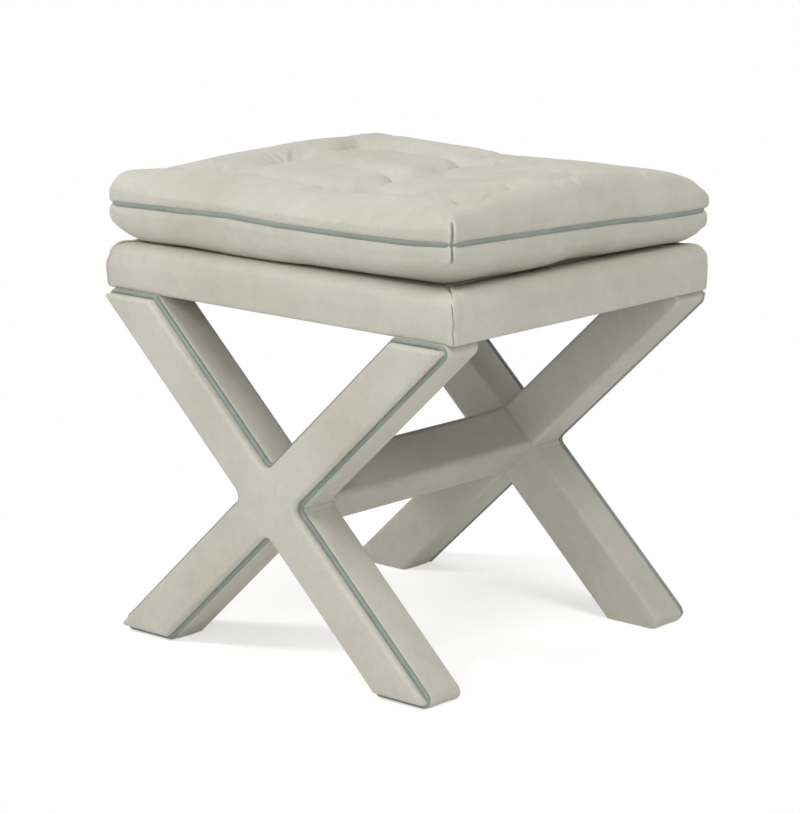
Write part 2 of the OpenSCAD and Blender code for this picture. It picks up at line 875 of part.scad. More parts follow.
// Fibre between the flat foam and the crowned casing
module cushion_fibre_topper() {
    n = last_line - 1;
    skin = leather_t + soft_gap;
    top = grid_points(n, skin);
    edge = grid_edge(n);
    count = len(edge);
    under = [for (k = [0:count - 1]) [edge[k], edge[(k + 1) % count], len(top)]];
    color(wadding_white)
        polyhedron(points = concat(top, [[0, 0, wall_top_z - skin]]),
            faces = concat(grid_faces(n, 0, false), under),
            convexity = 6);
}

// A ring round the cushion, inset from its widest outline
function cushion_ring(inset, z) =
    let (hx = cushion_hx - inset,
         hy = cushion_hy - inset,
         corners = [[hx, -hy], [hx, hy], [-hx, hy], [-hx, -hy]])
    [for (side = [0:3], k = [0:rim_columns - 1])
        let (s = k / rim_columns,
             p = corners[side] * (1 - s) + corners[(side + 1) % 4] * s,
             q = drawn_in(p[0], p[1], hx, hy))
        [q[0], q[1], z]];

// A closed solid through rings from the bottom up, capped by triangles to the middle of each end
module ring_solid(rings) {
    n = len(rings[0]);
    count = len(rings) * n;
    points = concat([for (r = rings) each r], [[0, 0, rings[0][0][2]], [0, 0, rings[len(rings) - 1][0][2]]]);
    low = [for (c = [0:n - 1]) [count, c, (c + 1) % n]];
    high = [for (c = [0:n - 1]) [count + 1, count - n + (c + 1) % n, count - n + c]];
    sides = [for (f = band_faces(len(rings), n, false)) [f[0], f[2], f[1]]];
    polyhedron(points = points, faces = concat(low, high, sides), convexity = 6);
}

// Rings of the rolled lower edge from the underside up to the welt, drawn in by skin
function roll_rings(skin, lift) =
    let (last = len(roll_in_shares) - 1)
    [for (k = [0:last])
        let (z = deck_top_z + roll_up_shares[k] * (low_rim_z - deck_top_z))
        cushion_ring(roll_in_shares[k] * cushion_roll + skin, k == last ? z : z + lift)];

module cushion_bottom_casing() {
    inner = roll_rings(leather_t, leather_t);
    last = len(inner) - 1;
    color(bone)
        ring_solid(concat(roll_rings(0, 0), [for (k = [0:last]) inner[last - k]]));
}

module cushion_foam_core() {
    skin = cushion_welt_r + soft_gap;
    top_z = wall_top_z - leather_t - soft_gap;
    color(foam_cream)
        ring_solid(concat(roll_rings(skin, leather_t),
            [cushion_ring(skin, high_rim_z), cushion_ring(wall_lean + skin, top_z)]));
}

module cushion_welt() {
    path = cushion_ring(0, welt_z);
    color(sage)
        cord_loop(path, cushion_welt_r, [0, 0, 1]);
}

// Twine ties that draw the top down at the tufts
module tufting_ties() {
    z0 = deck_top_z + leather_t;
    color(wadding_white)
        for (i = [-1:1], j = [-1:1]) {
            p = casing_point(i * last_line / 2, j * last_line / 2, leather_t);
            translate([p[0], p[1], z0])
                cylinder(d = tie_d, h = p[2] - z0, $fn = twine_fn);
            for (z = [z0, p[2] - tie_knot_t])
                translate([p[0], p[1], z])
                    cylinder(d = tie_knot_d, h = tie_knot_t, $fn = twine_fn);
        }
}

front_leg_bar_rising();
front_leg_bar_falling();
back_leg_bar_rising();
back_leg_bar_falling();
front_leg_wadding();
back_leg_wadding();
front_leg_face_pad();
back_leg_face_pad();
front_wrap_top_left();
front_wrap_top_right();
front_wrap_foot_left();
front_wrap_foot_right();
back_wrap_top_left();
back_wrap_top_right();
back_wrap_foot_left();
back_wrap_foot_right();
front_leg_panel();
back_leg_panel();
front_leg_welt();
back_leg_welt();
stretcher_core();
stretcher_wadding();
stretcher_sleeve();
crossing_bolts();
crossing_washers();
stretcher_dowels();
foot_glides();
deck_rail_front();
deck_rail_back();
deck_rail_left();
deck_rail_right();
deck_glue_blocks();
deck_cleat_front();
deck_cleat_back();
deck_board();
deck_pad();
deck_cover();
deck_side_panel_left();
deck_side_panel_right();
dust_cover();
hanger_bolts();
hanger_washers();
hanger_nuts();
leg_dowels();
board_screws();
staples();
cushion_top_casing();
cushion_bottom_casing();
cushion_welt();
cushion_foam_core();
cushion_fibre_topper();
tufting_ties();
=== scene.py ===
"""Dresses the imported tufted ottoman: leather, welts, cushion, floor, light and camera."""
import math

import bpy
import numpy as np
from mathutils import Matrix, Vector, noise
from mathutils.kdtree import KDTree


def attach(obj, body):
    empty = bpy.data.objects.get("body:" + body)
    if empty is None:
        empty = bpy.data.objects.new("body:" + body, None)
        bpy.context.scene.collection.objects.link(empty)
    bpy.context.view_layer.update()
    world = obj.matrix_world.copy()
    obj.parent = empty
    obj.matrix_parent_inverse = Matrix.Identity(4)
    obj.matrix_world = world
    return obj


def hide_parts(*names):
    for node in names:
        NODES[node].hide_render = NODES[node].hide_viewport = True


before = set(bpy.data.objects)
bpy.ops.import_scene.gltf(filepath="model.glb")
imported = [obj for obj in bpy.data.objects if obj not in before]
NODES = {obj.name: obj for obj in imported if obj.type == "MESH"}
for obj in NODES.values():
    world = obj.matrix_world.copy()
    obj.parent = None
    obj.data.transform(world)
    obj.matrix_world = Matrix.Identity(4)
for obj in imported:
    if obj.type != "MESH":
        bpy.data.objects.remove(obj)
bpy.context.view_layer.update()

MM = 0.001

# ---- sizes, in millimetres
DECK_X, DECK_Y = 254.0, 220.0
DECK_Z0, DECK_Z1 = 393.0, 445.0
CROSS_Z = 187.845
SLOPE = 1.06325
ANGLE = math.radians(43.244)
LEG_T = 56.0
FOOT_Z = 1.5
LEG_IN_Y = 174.0
WELT_Y, WELT_IN, WELT_R = 223.3, {-1: 1.3, 1: 0.5}, 3.1
WRAP_OUT_Y = 221.4
PANEL_IN, PANEL_ROLL, PANEL_EDGE_Y = 4.5, 2.8, {-1: 233.0, 1: 229.3}
NOTCH_R, TIP_R, HEEL_R, PANEL_TIP_R = 9.0, 8.0, 3.5, 4.5
# a wrap's outer edge: distances in from WRAP_OUT_Y, with the inset from the leg's side there
WRAP_EDGE = ((0.0, 4.4), (0.4, 2.7), (1.3, 1.3), (2.6, 0.4), (4.2, 0.0))
WRAP_FILLET = 3.4
DECK_R, DECK_ROLL, DECK_SEAM_IN = 8.0, 16.0, 44.0
# the deck's side: distances below its rolled edge, with the distance out from the rim there
DECK_SIDE = ((4, 1.7), (8, 2.1), (12, 2.2), (16, 2.1), (20, 1.9), (24, 1.8), (28, 1.7), (31.5, 1.5),
             (33.6, 1.2), (35.0, 0.5), (35.8, -0.8), (36, -3), (36, -8), (36, -14), (36, -23))
CUSHION_X, CUSHION_Y = 249.0, 219.0
CASE_X, CASE_Y, CASE_R = 252.0, 221.5, 8.0
SIDE_PULL = 3.0
CORNER_IN = 0.293  # how far the middle of a round corner lies in from the square one, in radii


# ---- materials
def feed(tree, node, inputs):
    """Gives a node's inputs their values, and links those for which a socket is given."""
    for key, value in inputs.items():
        if isinstance(value, bpy.types.NodeSocket):
            tree.links.new(value, node.inputs[key])
        else:
            node.inputs[key].default_value = value
    return node


def add(tree, kind, inputs=None, **settings):
    """A new shader node with its settings and inputs."""
    node = tree.nodes.new("ShaderNode" + kind)
    for key, value in settings.items():
        setattr(node, key, value)
    return feed(tree, node, inputs or {})


def srgb(r, g, b):
    return tuple(((c / 255 + 0.055) / 1.055) ** 2.4 for c in (r, g, b))


def material(name, base, low, high, scale, rough, bump, grain, kind="leather", metal=0.0, sheen=0.0):
    """A procedural surface: broad mottling, fine grain, paler sharp edges (partly wear, partly a painted
    highlight) and a bump; colours in sRGB levels.
    """
    base, low, high = (srgb(*c) for c in (base, low, high))
    m = bpy.data.materials.new(name)
    m.use_nodes = True
    tree = m.node_tree
    place = add(tree, "TexCoord").outputs["Object"]
    grainwise = place
    if kind == "timber":
        grainwise = add(tree, "Mapping", {"Vector": place, "Scale": (1.0, 1.0, 0.06)}).outputs["Vector"]

    def ramp(source, *stops):
        """Colours along a texture: at both ends, then at any place between them."""
        node = add(tree, "ValToRGB", {"Fac": source})
        elements = node.color_ramp.elements
        for i, (position, colour) in enumerate(stops):
            stop = elements[i] if i < 2 else elements.new(position)
            stop.position, stop.color = position, (*colour, 1)
        return node.outputs["Color"]

    def mix(a, b, factor=1.0, blend="MULTIPLY"):
        return add(tree, "Mix", {"Factor": factor, "A": a, "B": b}, data_type="RGBA",
                   blend_type=blend).outputs["Result"]

    def noise_at(where, value, detail, **more):
        return add(tree, "TexNoise", {"Vector": where, "Scale": value, "Detail": detail, **more}).outputs["Fac"]

    broad = noise_at(grainwise, scale, 5.0)
    colour = ramp(broad, (0.34, low), (0.66, high), (0.5, base))
    if kind == "leather":
        cloud = noise_at(place, scale * 5.5, 5.0, Distortion=0.6)
        fine = noise_at(place, grain * 0.30, 8.0)
        for source, dark, start, end in ((cloud, 0.955, 0.36, 0.56), (fine, 0.95, 0.34, 0.60)):
            colour = mix(colour, ramp(source, (start, (dark,) * 3), (end, (1, 1, 1))))
        pores = add(tree, "TexVoronoi", {"Vector": place, "Scale": grain}).outputs["Distance"]
        height = add(tree, "Math", {0: pores, 1: 0.5, 2: fine}, operation="MULTIPLY_ADD")
        # sharp convex edges turn paler: partly wear, partly a painted highlight along the folded edges
        edges = add(tree, "NewGeometry").outputs["Pointiness"]
        wear_and_highlight = add(tree, "MapRange", {"Value": edges, "From Min": 0.515, "From Max": 0.60, "To Max": 0.35})
        pale = tuple(min(1.0, c * 1.12) for c in high) + (1,)
        colour = mix(colour, pale, wear_and_highlight.outputs["Result"], "MIX")
    elif kind == "weave":
        across, along = (add(tree, "TexWave", {"Vector": place, "Scale": grain}, bands_direction=way)
                         for way in "XY")
        height = add(tree, "Math", {0: across.outputs["Fac"], 1: along.outputs["Fac"]}, operation="MULTIPLY")
    else:
        height = add(tree, "Math", {0: noise_at(grainwise, grain, 6.0), 1: broad}, operation="MULTIPLY")
    polish = add(tree, "MapRange", {"Value": broad, "To Min": max(0.05, rough - 0.06),
                                    "To Max": min(1.0, rough + 0.10)})
    relief = add(tree, "Bump", {"Height": height.outputs["Value"], "Strength": bump, "Distance": 0.0006})
    feed(tree, tree.nodes["Principled BSDF"],
         {"Base Color": colour, "Roughness": polish.outputs["Result"], "Normal": relief.outputs["Normal"],
          "Metallic": metal, "Sheen Weight": sheen})
    return m


LEATHER = material("bone_leather", (204, 201, 187), (198, 194, 179), (209, 207, 195), 7.0, 0.62, 0.15, 1100.0)
# welt leather: its own green-grey, set somewhat darker as painted shade of the gaps beside the welts
WELT_LEATHER = material("welt_leather", (138, 149, 140), (129, 140, 131), (148, 159, 150), 16.0, 0.5, 0.2, 1100.0)
FINISHES = {slot: material(*row) for slot, row in {
    "timber": ("beech", (205, 172, 128), (188, 152, 108), (216, 186, 142), 60.0, 0.6, 0.3, 900.0, "timber"),
    "plywood": ("birch_plywood", (214, 188, 148), (200, 170, 128), (224, 202, 165), 30.0, 0.65, 0.25, 800.0,
                "timber"),
    "wadding": ("cotton_wadding", (238, 236, 230), (228, 225, 217), (246, 245, 240), 60.0, 0.95, 0.6, 420.0,
                "fibre", 0.0, 0.3),
    "foam": ("seat_foam", (232, 214, 168), (224, 204, 154), (240, 224, 184), 45.0, 0.9, 0.6, 900.0, "fibre"),
    "twine": ("waxed_twine", (222, 210, 182), (206, 192, 160), (232, 222, 198), 120.0, 0.75, 0.6, 1600.0, "weave"),
    "dust_cloth": ("black_cambric", (38, 38, 40), (30, 30, 32), (48, 48, 51), 60.0, 0.9, 0.5, 1500.0, "weave",
                   0.0, 0.2),
    "glide": ("felted_glide", (120, 112, 100), (104, 96, 86), (134, 126, 114), 90.0, 0.85, 0.5, 900.0, "fibre"),
    "steel": ("zinc_steel", (176, 178, 180), (160, 162, 166), (190, 192, 195), 90.0, 0.38, 0.08, 1200.0, "fibre",
              1.0),
}.items()}
SURFACES = dict(FINISHES, body_leather=LEATHER, welt_leather=WELT_LEATHER)


# ---- mesh helpers
def link(obj):
    bpy.context.scene.collection.objects.link(obj)
    return obj


def evaluated(obj):
    return obj.evaluated_get(bpy.context.evaluated_depsgraph_get())


def dress(obj, body, node):
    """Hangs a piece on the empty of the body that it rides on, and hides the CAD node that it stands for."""
    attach(obj, body)
    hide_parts(node)
    return obj


def piece(name, verts, faces, body, slot, thickness=0.0, node=None):
    """A smooth piece from points in millimetres; a thickness goes inward from them."""
    mesh = bpy.data.meshes.new(name)
    mesh.from_pydata((np.asarray(verts, float) * MM).tolist(), [], [tuple(f) for f in faces])
    mesh.validate()
    mesh.materials.append(SURFACES[slot])
    mesh.shade_smooth()
    obj = link(bpy.data.objects.new(name, mesh))
    if thickness:
        skin = obj.modifiers.new("leather", "SOLIDIFY")
        skin.thickness = thickness * MM
        skin.offset = -1.0
    return dress(obj, body, node or name)


def strip_faces(rows, cols, loop=False, flip=False, start=0):
    """Quads of a grid whose vertex (r, c) has index start + r * cols + c."""
    out = []
    for r in range(rows - 1):
        for c in range(cols if loop else cols - 1):
            a = start + r * cols + c
            b = start + r * cols + (c + 1) % cols
            f = (a, b, b + cols, a + cols)
            out.append(f[::-1] if flip else f)
    return out


def skirt_faces(rim, rows, base, flip=False):
    """Quads that hang rows of rim copies, stored from index base on, below a rim loop."""
    out, n = [], len(rim)
    for k in range(rows):
        for c in range(n):
            d = (c + 1) % n
            a0, a1 = (rim[c], rim[d]) if k == 0 else (base + (k - 1) * n + c, base + (k - 1) * n + d)
            f = (a0, base + k * n + c, base + k * n + d, a1)
            out.append(f[::-1] if flip else f)
    return out


def tube_faces(turns, n, flip=False):
    """Quads of a closed ring of n points swept by a closed circle of turns points."""
    faces = strip_faces(turns, n, loop=True)
    faces += [((turns - 1) * n + c, (turns - 1) * n + (c + 1) % n, (c + 1) % n, c) for c in range(n)]
    return [f[::-1] for f in faces] if flip else faces


def ripple(p, scale, seed):
    """Smooth noise of the points p in millimetres, from about -1 to 1."""
    return np.array([noise.noise(Vector((x * scale + seed, y * scale - seed, z * scale + 2 * seed)))
                     for x, y, z in p])


def eased(n):
    """n + 1 shares from 0 to 1, closer together towards both ends."""
    return (1 - np.cos(math.pi * np.arange(n + 1) / n)) / 2


def soft_step(t):
    t = np.clip(t, 0, 1)
    return t * t * (3 - 2 * t)


def nearness(x, y, cx, cy, reach):
    """1 at a place in plan, fading with the distance from it."""
    return np.exp(-((x - cx) ** 2 + (y - cy) ** 2) / reach ** 2)


def circle(turns):
    return [2 * math.pi * k / turns for k in range(turns)]


def beside(loop):
    """Unit vectors square to a closed loop, in its plane."""
    ahead = np.roll(loop, -1, axis=0) - np.roll(loop, 1, axis=0)
    ahead /= np.linalg.norm(ahead, axis=1)[:, None]
    return np.column_stack([ahead[:, 1], -ahead[:, 0]])


def only_used(faces):
    """The vertices that some faces use, and the faces renumbered to them."""
    used = sorted({i for f in faces for i in f})
    index = {v: i for i, v in enumerate(used)}
    return used, [tuple(index[i] for i in f) for f in faces]


def read_points(mesh):
    """A mesh's points in millimetres, and its normals."""
    out = []
    for key in ("co", "normal"):
        flat = np.empty(len(mesh.vertices) * 3)
        mesh.vertices.foreach_get(key, flat)
        out.append(flat.reshape(-1, 3))
    return out[0] / MM, out[1]


# ---- outline of the crossed legs
def x_corners(inset, z_low, z_high):
    h = LEG_T / 2 - inset
    hx, hz = h / math.sin(ANGLE), h / math.cos(ANGLE)
    top, foot = (z_high - CROSS_Z) * SLOPE, (CROSS_Z - z_low) * SLOPE
    return np.array([[top + hx, z_high], [top - hx, z_high], [0, CROSS_Z + hz],
                     [hx - top, z_high], [-top - hx, z_high], [-hx, CROSS_Z],
                     [-foot - hx, z_low], [hx - foot, z_low], [0, CROSS_Z - hz],
                     [foot - hx, z_low], [foot + hx, z_low], [hx, CROSS_Z]])


ARC, LONG, SHORT = 8, 44, 14
EDGES = [SHORT, LONG, LONG] * 4


def x_outline(inset, z_low, z_high, tip_r=TIP_R):
    """Points round the frame; the same count and order for every inset."""
    p = x_corners(inset, z_low, z_high)
    notch, tip, heel = NOTCH_R + inset, max(tip_r - inset, 1), max(HEEL_R - inset, 1)
    radii = [tip, heel, notch, heel, tip, notch] * 2
    arcs = []
    for i in range(12):
        a, b = p[i - 1] - p[i], p[(i + 1) % 12] - p[i]
        a, b = a / np.linalg.norm(a), b / np.linalg.norm(b)
        half = math.acos(np.clip(a @ b, -1, 1)) / 2
        m = (a + b) / np.linalg.norm(a + b)
        c = p[i] + m * radii[i] / math.sin(half)
        pa, pb = p[i] + a * radii[i] / math.tan(half) - c, p[i] + b * radii[i] / math.tan(half) - c
        turn = 2 * math.asin(np.linalg.norm(pb - pa) / 2 / radii[i])
        s = np.linspace(0, 1, ARC + 1)[:, None]
        arcs.append(c + (pa * np.sin((1 - s) * turn) + pb * np.sin(s * turn)) / math.sin(turn))
    out = []
    for i in range(12):
        start, end = arcs[i][-1], arcs[(i + 1) % 12][0]
        s = eased(EDGES[i])[1:-1, None]
        out += [arcs[i], start + (end - start) * s]
    return np.vstack(out)


STARTS = np.cumsum([0] + [ARC + e for e in EDGES])
MIDS = [int(s) + ARC // 2 for s in STARTS[:12]]
LOOP_N = int(STARTS[-1])


def arc_between(path, i, j):
    """The part of the outline from the middle of corner i to the middle of corner j."""
    a, b = MIDS[i % 12], MIDS[j % 12]
    if b <= a:
        b += LOOP_N
    return path[np.arange(a, b + 1) % LOOP_N]


ARMS = {"top_right": 11, "top_left": 2, "foot_left": 5, "foot_right": 8}
ACROSS = SHORT + ARC


def arm_patch(path, first):
    """Coons patch over one leg, rows from the crossing to the leg's end."""
    side_a = arc_between(path, first, first + 1)
    end = arc_between(path, first + 1, first + 2)
    side_b = arc_between(path, first + 2, first + 3)[::-1]
    even = eased(ACROSS)[:, None]
    cross = side_a[0] + (side_b[0] - side_a[0]) * even
    s = np.linspace(0, 1, len(side_a))[:, None, None]
    lengths = np.linalg.norm(np.diff(end, axis=0), axis=1)
    end_t = (np.concatenate([[0], np.cumsum(lengths)]) / lengths.sum())[:, None]
    t = even * (1 - s) + end_t * s
    sides = side_a[:, None] * (1 - t) + side_b[:, None] * t
    ends = cross * (1 - s) + end * s
    corners = ((side_a[0] * (1 - t) + side_b[0] * t) * (1 - s)
               + (side_a[-1] * (1 - t) + side_b[-1] * t) * s)
    return sides + ends - corners


def middle_patch(path):
    """The square patch where the two legs cross."""
    east, north, west, south = (path[MIDS[i]] for i in (11, 2, 5, 8))
    u, v = eased(ACROSS)[:, None, None], eased(ACROSS)[None, :, None]
    return (east * (1 - u) + north * u) * (1 - v) + (south * (1 - u) + west * u) * v


def edge_distance(p, path):
    a, b = path, np.roll(path, -1, axis=0)
    ab = b - a
    out = np.empty(len(p))
    for k in range(0, len(p), 2000):
        q = p[k:k + 2000, None] - a[None]
        s = np.clip((q * ab).sum(2) / (ab ** 2).sum(1), 0, 1)
        out[k:k + 2000] = np.linalg.norm(q - s[..., None] * ab, axis=2).min(1)
    return out


def weld(verts, faces, tol=0.02):
    """Joins vertices, in two or three dimensions, that lie on each other."""
    places = [(p[0], p[1] if len(p) == 3 else 0, p[-1]) for p in verts]
    tree = KDTree(len(places))
    for i, place in enumerate(places):
        tree.insert(place, i)
    tree.balance()
    same = list(range(len(places)))
    for i, place in enumerate(places):
        if same[i] == i:
            for _, j, _ in tree.find_range(place, tol):
                if j > i:
                    same[j] = i
    used = sorted(set(same))
    index = {v: k for k, v in enumerate(used)}
    joined = (tuple(dict.fromkeys(index[same[int(i)]] for i in f)) for f in faces)
    return verts[used], [f for f in joined if len(f) > 2]


def y_face(sign, points, depth):
    """2-D points (x, z) with depths |y|, as 3-D points on the front (-1) or back (1) frame."""
    p = np.asarray(points).reshape(-1, 2)
    return np.column_stack([p[:, 0], sign * np.broadcast_to(depth, len(p)), p[:, 1]])


# ---- leg frames
def leg_panel(sign, name):
    """Leather face of one crossed frame, rolled over at its edge and a little full."""
    path = x_outline(PANEL_IN, FOOT_Z + 2 * WELT_R, DECK_Z0 - 2 * WELT_R, PANEL_TIP_R)
    verts, faces = np.empty((0, 2)), []
    for g in [arm_patch(path, first) for first in ARMS.values()] + [middle_patch(path)]:
        faces += strip_faces(g.shape[0], g.shape[1], start=len(verts))
        verts = np.vstack([verts, g.reshape(-1, 2)])
    verts, faces = weld(verts, faces)
    d = edge_distance(verts, path)
    inside = np.clip(PANEL_ROLL - d, 0, None)
    y = PANEL_EDGE_Y[sign] - PANEL_ROLL + np.sqrt(np.clip(PANEL_ROLL ** 2 - inside ** 2, 0, None))
    y = y - 8.0 * np.clip(1 - d / 0.2, 0, 1) + 0.6 * (1 - np.exp(-d / 9))
    p = y_face(1, verts, 0.0)
    y = y + 0.35 * ripple(p, 0.03, 3.1 + sign) * np.clip(d / 10, 0, 1)
    return piece(name, y_face(sign, verts, y), faces if sign < 0 else [f[::-1] for f in faces],
                 "base", "body_leather", 2.0)


def leg_welt(sign, name):
    path = x_outline(WELT_IN[sign], WELT_R + 0.3, DECK_Z0 - WELT_R + 0.8)
    side, turns = beside(path), 12
    rings = [y_face(sign, path + side * WELT_R * math.cos(a), WELT_Y + WELT_R * math.sin(a))
             for a in circle(turns)]
    return piece(name, np.vstack(rings), tube_faces(turns, LOOP_N, flip=sign > 0), "base", "welt_leather")


def leg_wrap(sign, arm, name):
    """Leather round one leg: two sides and the end, then a rounded edge, then the inner face."""
    first, fillet = ARMS[arm], WRAP_FILLET
    low, high = FOOT_Z, DECK_Z0
    start, stop = WRAP_OUT_Y - WRAP_EDGE[-1][0], LEG_IN_Y + fillet
    wall = [(WRAP_OUT_Y - back, inset) for back, inset in WRAP_EDGE]
    wall += [(start + (stop - start) * t, -0.9 * math.sin(math.pi * t)) for t in np.arange(1, 9) / 9]
    wall += [(stop - fillet * math.sin(a), fillet * (1 - math.cos(a))) for a in np.linspace(0, math.pi / 2, 7)]

    def cut(path):
        sides = [arc_between(path, first + k, first + k + 1) for k in range(3)]
        return np.vstack([sides[0], sides[1][1:], sides[2][1:]])

    rows = []
    for y, inset in wall:
        rise = max(inset, 0.0) * (0.4 if y <= stop else 0.8)
        part = cut(x_outline(inset, low + rise, high - rise))
        tuck = cut(x_outline(inset + 3.2, low + rise, high - rise))
        share = np.zeros((len(part), 1))
        share[[0, -1]], share[[1, -2]] = 1.0, 0.12
        rows.append(y_face(sign, part * (1 - share) + tuck * share, y))
    flip = sign > 0
    verts = np.vstack(rows)
    faces = strip_faces(len(rows), len(rows[0]), flip=flip)
    g = arm_patch(x_outline(fillet, low + fillet * 0.4, high - fillet * 0.4), first)
    faces += strip_faces(g.shape[0], g.shape[1], flip=not flip, start=len(verts))
    verts, faces = weld(np.vstack([verts, y_face(sign, g, LEG_IN_Y)]), faces)
    d = edge_distance(verts[:, [0, 2]], x_outline(0, low, high))
    flat_in = np.abs(verts[:, 1]) < LEG_IN_Y + 0.01
    verts[flat_in, 1] -= sign * 0.9 * (1 - np.exp(-np.clip(d[flat_in] - fillet, 0, None) / 8))
    return piece(name, verts, faces, "base", "body_leather", 1.8)


for side_name, side_sign in (("front", -1), ("back", 1)):
    leg_panel(side_sign, side_name + "_leg_panel")
    leg_welt(side_sign, side_name + "_leg_welt")
    for arm_name in ARMS:
        leg_wrap(side_sign, arm_name, side_name + "_wrap_" + arm_name)


# ---- stretcher
def stretcher_sleeve():
    """Leather round the stretcher, a square bar on its corner, that flares where it meets the frames."""
    half_y, radius, on_arc, on_edge = 175.5, 7.0, 8, 14
    hx, hz = LEG_T / 2 / math.sin(ANGLE), LEG_T / 2 / math.cos(ANGLE)
    corners = np.array([[hx, 0], [0, hz], [-hx, 0], [0, -hz]])
    loop = []
    for i, here in enumerate(corners):
        following = corners[(i + 1) % 4]
        a, b = corners[i - 1] - here, following - here
        a, b = a / np.linalg.norm(a), b / np.linalg.norm(b)
        half = math.acos(a @ b) / 2
        centre = here + (a + b) / np.linalg.norm(a + b) * radius / math.sin(half)
        cut = radius / math.tan(half)
        pa, pb, end = here + a * cut, here + b * cut, following - b * cut
        for s in np.arange(on_arc + 1) / on_arc:
            q = (pa - centre) * (1 - s) + (pb - centre) * s
            loop.append(centre + q / np.linalg.norm(q) * radius)
        loop += [pb + (end - pb) * k / on_edge for k in range(1, on_edge)]
    loop = np.array(loop)
    ends = np.array([0, 0.4, 1.2, 2.5, 4.5])
    ys = np.concatenate([ends, np.linspace(8, 2 * half_y - 8, 56), 2 * half_y - ends[::-1]]) - half_y
    rows = []
    for y in ys:
        e = half_y - abs(y)
        flare = 2.8 * math.exp(-e / 14) - 5.8 * math.exp(-e / 1.4)
        grow = 1 + (0.5 * (1 - math.exp(-e / 25)) + flare) / 30.0
        rows.append(np.column_stack([loop[:, 0] * grow, np.full(len(loop), y), loop[:, 1] * grow + CROSS_Z]))
    return piece("stretcher_sleeve", np.vstack(rows), strip_faces(len(ys), len(loop), loop=True), "base",
                 "body_leather", 2.0)


stretcher_sleeve()


# ---- dust cloth under the deck
def dust_sheet():
    """Black cloth stapled under the deck, cut out round the leg tops, that sags a little."""
    half_x, half_y, notch_x, notch_y, lap = 239.0, 205.0, 175.26, 172.0, 9.0

    def lines(notch, half, n):
        outer = np.linspace(notch, half, n)
        return np.unique(np.concatenate([np.linspace(-notch, notch, 45), outer, -outer]))

    xs, ys = lines(notch_x, half_x, 9), lines(notch_y, half_y, 5)
    gx, gy = (g.ravel() for g in np.meshgrid(xs, ys, indexing="ij"))
    u = np.clip(np.abs(gx) / (half_x - lap), 0, 1)
    v = np.clip(np.abs(gy) / (half_y - lap), 0, 1)
    points = np.column_stack([gx, gy, np.zeros(len(gx))])
    sag = (1 - u ** 2) * (1 - v ** 2) * (1.8 + 0.4 * ripple(points, 0.02, 6.1))
    points[:, 2] = DECK_Z0 - 0.7 - sag
    used, faces = only_used([f for f in strip_faces(len(xs), len(ys))
                             if abs(gx[list(f)].mean()) < notch_x or abs(gy[list(f)].mean()) < notch_y])
    obj = piece("dust_cloth", points[used], faces, "base", "dust_cloth", 0.5, node="dust_cover")


dust_sheet()


# ---- rounded blocks: deck and cushion
def spaced(half, edge, step):
    """Grid lines from -half to half: the given distances from the edge, then even steps."""
    inner = half - edge[-1]
    n = max(2, int(round(2 * inner / step)))
    line = np.linspace(-inner, inner, n + 1)
    out = [-(half - e) for e in edge[:-1]]
    return np.concatenate([out, line, [-v for v in out[::-1]]])


def rounded_grid(hx, hy, r, edge, step):
    """A grid over a rectangle with round corners.

    Gives the grid's x and y, its plan points, their distance in from the edge, the rim loop and the shape.
    """
    xs, ys = spaced(hx, edge, step), spaced(hy, edge, step)
    gx, gy = (g.ravel() for g in np.meshgrid(xs, ys, indexing="ij"))
    inset = np.minimum(hx - np.abs(gx), hy - np.abs(gy))
    dx, dy = np.abs(gx) - (hx - r), np.abs(gy) - (hy - r)
    corner = (dx > 0) & (dy > 0)
    k = np.where(corner, np.maximum(dx, dy) / np.where(corner, np.hypot(dx, dy), 1), 1)
    px = np.where(corner, np.sign(gx) * (hx - r + dx * k), gx)
    py = np.where(corner, np.sign(gy) * (hy - r + dy * k), gy)
    nx, ny = len(xs), len(ys)
    rim = ([(i, 0) for i in range(nx - 1)] + [(nx - 1, j) for j in range(ny - 1)]
           + [(i, ny - 1) for i in range(nx - 1, 0, -1)] + [(0, j) for j in range(ny - 1, 0, -1)])
    return gx, gy, np.column_stack([px, py]), inset, [i * ny + j for i, j in rim], (nx, ny)


def outward(p, hx, hy, r):
    """Unit directions straight out of a rounded rectangle at its rim points."""
    c = np.column_stack([np.clip(p[:, 0], -(hx - r), hx - r), np.clip(p[:, 1], -(hy - r), hy - r)])
    d = p - c
    return d / np.maximum(np.linalg.norm(d, axis=1)[:, None], 1e-9)


